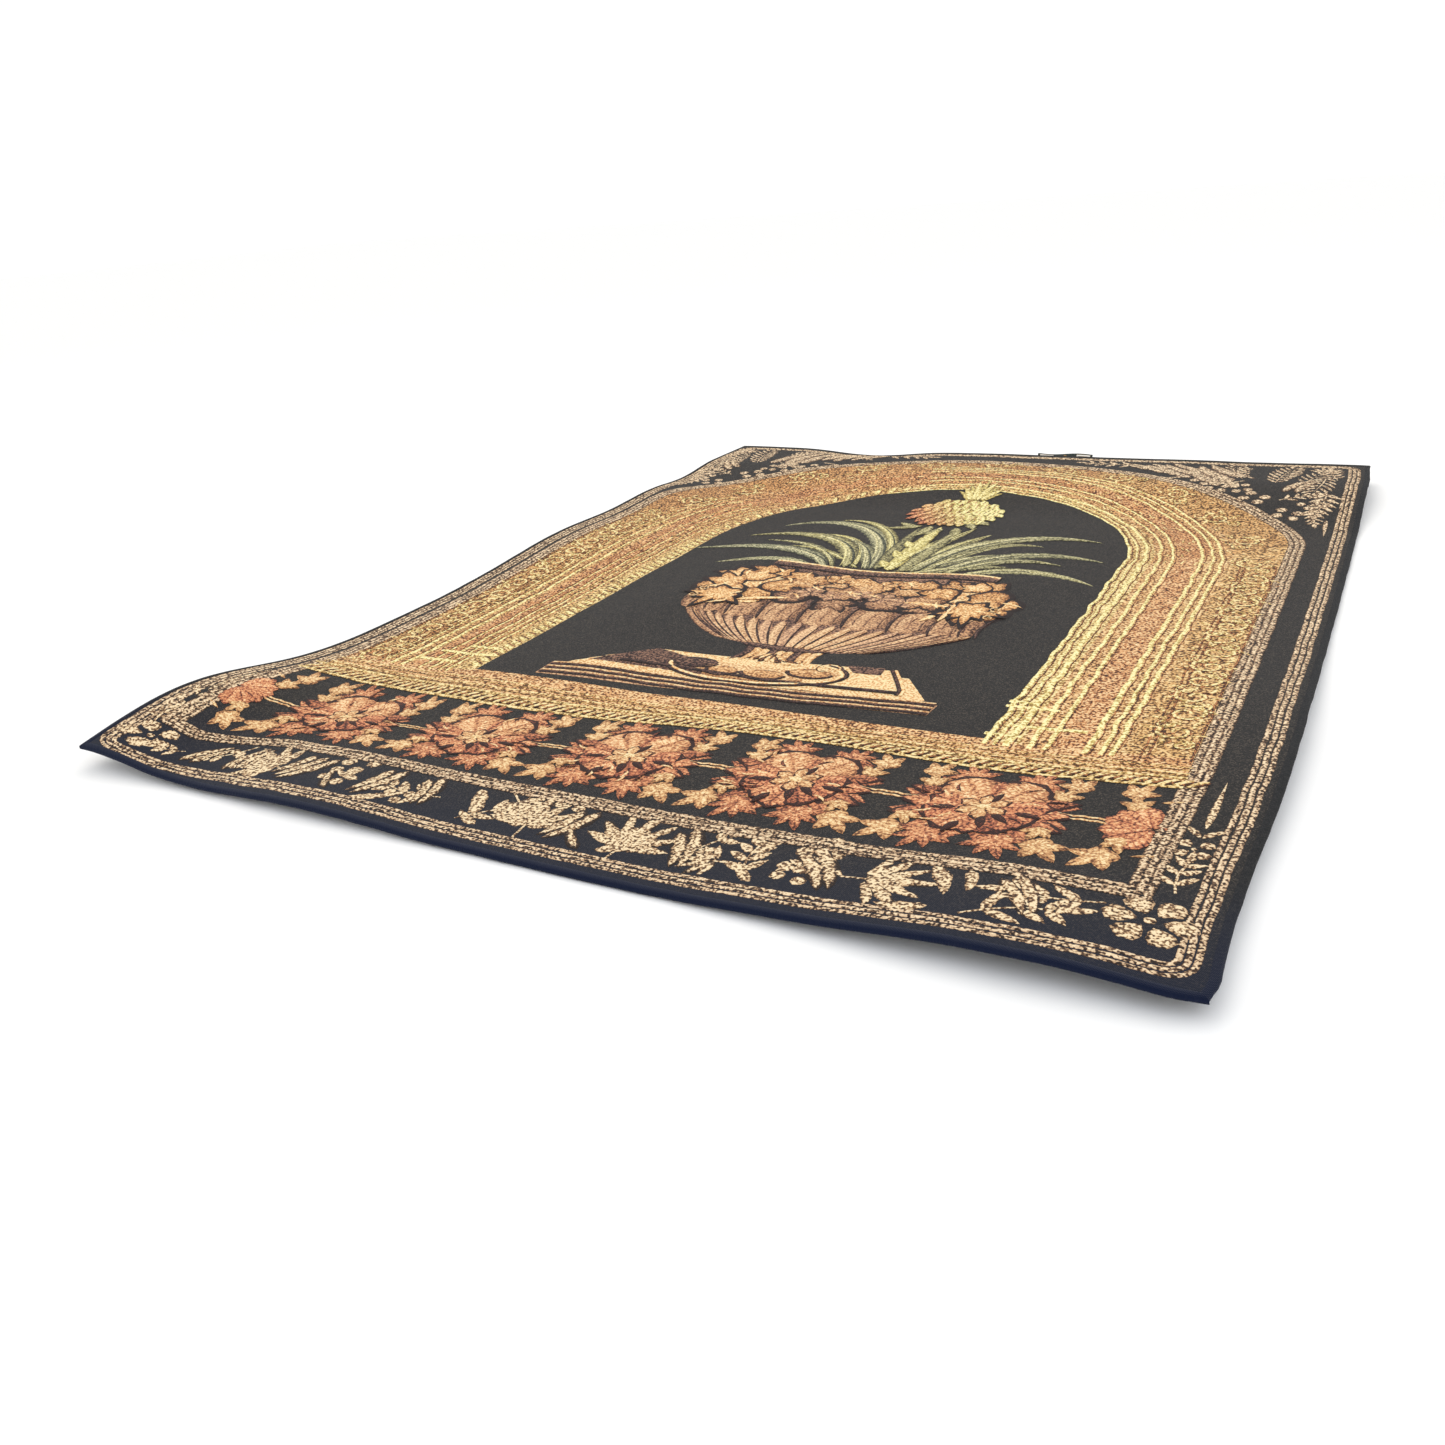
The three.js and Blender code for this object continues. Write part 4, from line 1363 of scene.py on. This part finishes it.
def addFruit(figure):
    luck = figure["luck"].random
    x, y = plant["fruit"]
    wide, tall = plant["fruitHalf"]
    blade(figure, [(x, y - tall), (x, y), (x, y + tall)], wide, (0.42, 0.6, 0), "seed", layer=2)
    for row in range(11):
        up = (2 * (row + 0.5) / 11 - 1) * 0.94
        reach = sqrt(1 - up * up)
        count = max(3, round(9 * reach))
        for k in range(count):
            share = (2 * (k + 0.5 * (row % 2)) / count - 1 + 0.5 / count) * reach
            lit = 0.7 + 0.4 * share + 0.2 * up
            tone = min(max(0.1 + 0.7 * lit + 0.2 * luck(), 0.3), 0.92)
            root = (x + share * wide, y + up * tall + 6)
            turn = 270 + 38 * share + 20 * (luck() - 0.5)
            frond(figure, *root, turn, 22, 6.8, (tone, min(max(2.2 * lit - 0.7, 0), 1), 0.3), layer=4)
            frond(figure, *off(*root, 270, 3, 5), 262, 13, 1.2, (0.3, 0.2, 0), layer=5)
    for k, share in evenly(9):
        frond(figure, x + 8 + 11 * share, plant["crown"], 90 - 34 * share, 84 - 44 * abs(share), 5.2,
              (0.5 + 0.3 * (k % 2), 0.9, 0.5), bend=0.2 * share, layer=3 + k % 2)


# Weaving it all in: each part's name, how it is drawn, its yarn and the seed of its luck
for name, draw, yarn, seed in (
        ("frame_stripes", addFrameStripes, vineYarn, 1), ("vine_border", addVineBand, vineYarn, 1),
        ("spandrel_foliage", addSpandrels, vineYarn, 1), ("flower_garland", addGarland, garlandYarn, 5),
        ("golden_surround", addField, fieldYarn, 1), ("mouldings", addMouldings, fieldYarn, 1),
        ("rope_edging", addRope, fieldYarn, 1), ("scroll_border", addScrolls, fieldYarn, 11),
        ("urn_and_plinth", addUrn, urnYarn, 3), ("pineapple_leaves", addPlant, plantYarn, 9),
        ("pineapple_fruit", addFruit, fruitYarn, 21)):
    figure = newFigure(seed)
    draw(figure)
    weaveIn(name, figure, yarn)
    print(name, "is woven in")

# The lining, sleeve and sewing
sewing = {
    "stitch": 4.2, "gap": 2.2, "half": 0.42, "thick": 0.6,
    "hemInset": 4.4, "hemLevel": 0.5, "seamInset": 5.4, "seamLevel": -1.9,
}
sleeve = {"sideInset": 15, "flange": 10, "wall": 1.0, "turn": 2.6, "columns": 88, "sag": 0.7}


def plainMaterial(name, ramp, spread, depth, roughness=0.93, sheen=0.08):
    # plain woven cloth or thread in one dye lot, with the slight unevenness of the yarn
    material, tree = newMaterial(name)
    place, crossing, relief = weave(tree, spread)
    blotch = addNode(tree, "TexNoise", {"Vector": place, "Scale": 1000 / 14, "Detail": 4.0})
    colour = addNode(tree, "ValToRGB", {"Fac": weighed(tree, (crossing, blotch), (0.5, 0.6, 0))}, ramp=ramp)
    finishCloth(tree, colour, relief, depth, roughness, sheen)
    return material


sleeveShades = [(0.1, "18181a"), (0.5, "202023"), (0.9, "2c2c30")]
threadShades = [(0.1, "2c2b2a"), (0.5, "4a4744"), (0.9, "6c6762")]
sleeveCloth = plainMaterial("cotton_sleeve", sleeveShades, 1.0, 0.00012)
threadYarn = plainMaterial("polyester_thread", threadShades, 0.4, 0.00006, 0.6, 0.2)


def addLining():
    # set in from the edges all round: a thin grid that follows the cloth, thickened downwards
    inset = cloth["liningInset"]
    lift = cloth["liningThickness"] - cloth["faceTop"]
    piece = clothGrid("cotton_backing", inset - width / 2, width / 2 - inset, inset, height - inset, 9.0,
                      lift, cloth["liningThickness"], liningCloth)
    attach(piece, "hanging")
    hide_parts("backing_lining")
    return piece


def addSleeve():
    # one strip of cloth: a sewn flange, down the wall, across the back, up the other wall and a flange
    low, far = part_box("sleeve_back_panel")
    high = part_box("sleeve_upper_wall")[1]
    front, back = low[1] * 1000, far[1] * 1000
    top = high[2] * 1000 - sleeve["wall"] / 2
    half = sleeve["wall"] / 2
    turn = sleeve["turn"]
    bends = [radians(a) for a in range(0, 91, 30)]
    outline = [(front - sleeve["flange"], top), (front - 5, top)]
    outline += [(front - turn + half + turn * sin(a), top - turn + turn * cos(a)) for a in bends]
    outline += [(front + half, top - 6), (front + half, top - 11)]
    outline += [(front + half + turn - turn * cos(a), half + turn - turn * sin(a)) for a in bends]
    outline += [(front + (back - front) * k / 7, half) for k in range(1, 7)]
    outline += [(front + back - y, z) for y, z in outline[:10][::-1]]
    points = []
    faces = []
    ring = len(outline)
    for i in range(sleeve["columns"] + 1):
        x = low[0] + (high[0] - low[0]) * i / sleeve["columns"]
        for y, z in outline:
            soft = sin(pi * min(max((z - 1) / (top - 1), 0), 1))
            give = sleeve["sag"] * soft * noise.noise(Vector((x * 14, y / 30, 2)))
            points.append((x, (y + give) / 1000, z / 1000))
    for i in range(sleeve["columns"]):
        for k in range(ring - 1):
            a = i * ring + k
            faces.append((a, a + ring, a + ring + 1, a + 1))
    piece = newPiece("rod_sleeve", points, faces, sleeveCloth)
    applyModifier(piece, "SOLIDIFY", thickness=sleeve["wall"] / 1000, offset=0)
    finishPiece(piece, 50)
    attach(piece, "hanging")
    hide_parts("sleeve_back_panel", "sleeve_lower_wall", "sleeve_upper_wall")
    return piece


def addStitch(points, faces, a, b):
    # one stitch of thread from a to b, in metres: thin at its ends, where it goes through the cloth
    side = (b - a).normalized().cross(Vector((0, 0, 1))).normalized() * sewing["half"] / 1000
    up = Vector((0, 0, sewing["thick"] / 2000))
    start = len(points)
    points.append(a - up)
    for share in (0.2, 0.8):
        middle = a.lerp(b, share)
        points += [middle + side * cos(pi * k / 3) + up * sin(pi * k / 3) for k in range(6)]
    points.append(b - up)
    for k in range(6):
        near, far = start + 1 + k, start + 7 + k
        nextNear, nextFar = start + 1 + (k + 1) % 6, start + 7 + (k + 1) % 6
        faces += [(start, nextNear, near), (near, nextNear, nextFar, far), (far, nextFar, start + 13)]


def stitchPiece(name, node, begin, end, place):
    # a run of stitches from one place to another; place turns drawing millimetres to metres
    points = []
    faces = []
    begin = Vector(begin)
    end = Vector(end)
    pitch = sewing["stitch"] + sewing["gap"]
    count = int((end - begin).length / pitch)
    step = (end - begin) / count
    for k in range(count):
        a = begin + step * (k + 0.15)
        b = a + step * sewing["stitch"] / pitch
        addStitch(points, faces, Vector(place(*a)), Vector(place(*b)))
    piece = newPiece(name, points, faces, threadYarn)
    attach(piece, "hanging")
    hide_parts(node)


def addStitching():
    def hemPlace(x, y):
        return onCloth(x, y, sewing["hemLevel"] - cloth["faceTop"])

    def seamPlace(x, y):
        return onCloth(x, y, sewing["seamLevel"] - cloth["faceTop"])

    def labelPlace(x, y):
        return (x / 1000, y / 1000, level)

    side = width / 2 - sewing["hemInset"]
    low = sewing["hemInset"]
    high = height - sewing["hemInset"]
    runs = {"bottom": ((-side, low), (side, low)), "top": ((-side, high), (side, high)),
            "left": ((-side, low), (-side, high)), "right": ((side, low), (side, high))}
    for name, (begin, end) in runs.items():
        stitchPiece("stitches_" + name, "hem_stitching_" + name, begin, end, hemPlace)
    ends = width / 2 - sleeve["sideInset"] - sewing["seamInset"]
    for name in ("lower", "upper"):
        near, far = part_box("sleeve_seam_" + name)
        y = (near[1] + far[1]) * 500 - bottomEdge
        stitchPiece("stitches_sleeve_" + name, "sleeve_seam_" + name, (-ends, y), (ends, y), seamPlace)
    near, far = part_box("label_stitching")
    y = (near[1] + far[1]) * 500
    level = (near[2] + far[2]) / 2
    begin, end = (near[0] * 1000 + 1, y), (far[0] * 1000 - 1, y)
    stitchPiece("stitches_label", "label_stitching", begin, end, labelPlace)


# The label
label = {
    "tab": 1.4, "curl": 9.5, "curlFrom": 15.5, "cell": 1.0,
    "frame": 2.4, "frameEnds": (18, 39), "margin": 3.0, "lozenge": (15, 8.5),
    "shades": [(0.0, "2b3431"), (0.3, "343d38"), (0.42, "a67c45"), (0.58, "bd9354"), (0.75, "f2efe6")],
}


def labelMark(x, y, long):
    # cream frame pieces at both ends and a gold lozenge in the middle: 1 cream, 0.5 gold, 0 ground
    line = label["frame"]
    inner, outer = label["frameEnds"]
    front, back = label["margin"], long - 1.5
    if inner < abs(x) < outer and front < y < back:
        if abs(x) > outer - line or abs(x) < inner + line or y > back - line or y < front + line:
            return 1.0
    wide, tall = label["lozenge"]
    return 0.5 if abs(x) / wide + abs(y - long * 0.62) / tall < 1 else 0.0


def addLabel():
    (left, front, low), (right, back, high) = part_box("maker_label")
    wide = (right - left) * 1000
    long = (back - front) * 1000
    middle = (left + right) / 2
    columns = round(wide / label["cell"])
    rows = round((long + label["tab"]) / label["cell"])
    bpy.ops.mesh.primitive_grid_add(x_subdivisions=columns, y_subdivisions=rows, size=1)
    piece = bpy.context.object
    piece.name = "label_ribbon"
    marks = piece.data.attributes.new("mark", "FLOAT", "POINT")
    for vertex in piece.data.vertices:
        x = vertex.co.x * wide
        y = (vertex.co.y + 0.5) * (long + label["tab"]) - label["tab"]
        marks.data[vertex.index].value = labelMark(x, y, long)
        free = smoothStep((y - label["curlFrom"]) / (long - label["curlFrom"] + 6))
        up = label["curl"] * free * (1 + 0.18 * sin(x / 13))
        vertex.co = (middle + x / 1000, front + (y - 2.2 * free) / 1000, (low + high) / 2 + up / 1000)
    piece.data.materials.append(labelSatin)
    applyModifier(piece, "SOLIDIFY", thickness=high - low, offset=0)
    finishPiece(piece)
    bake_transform(piece)
    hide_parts("maker_label")
    return piece


def labelMaterial():
    # damask woven satin: one smooth sheen all over, with the figures in cream and gold yarn
    material, tree = newMaterial("satin_label")
    place, crossing, relief = weave(tree, 0.4)
    mark = addNode(tree, "Attribute", out=2, attribute_name="mark")
    colour = addNode(tree, "ValToRGB", {"Fac": mark}, ramp=label["shades"])
    finishCloth(tree, colour, relief, 0.00005, 0.45, 0.3)
    return material


labelSatin = labelMaterial()
lining = addLining()
sleevePiece = addSleeve()
addStitching()
labelPiece = addLabel()
print("the lining, sleeve, stitches and label are sewn on")
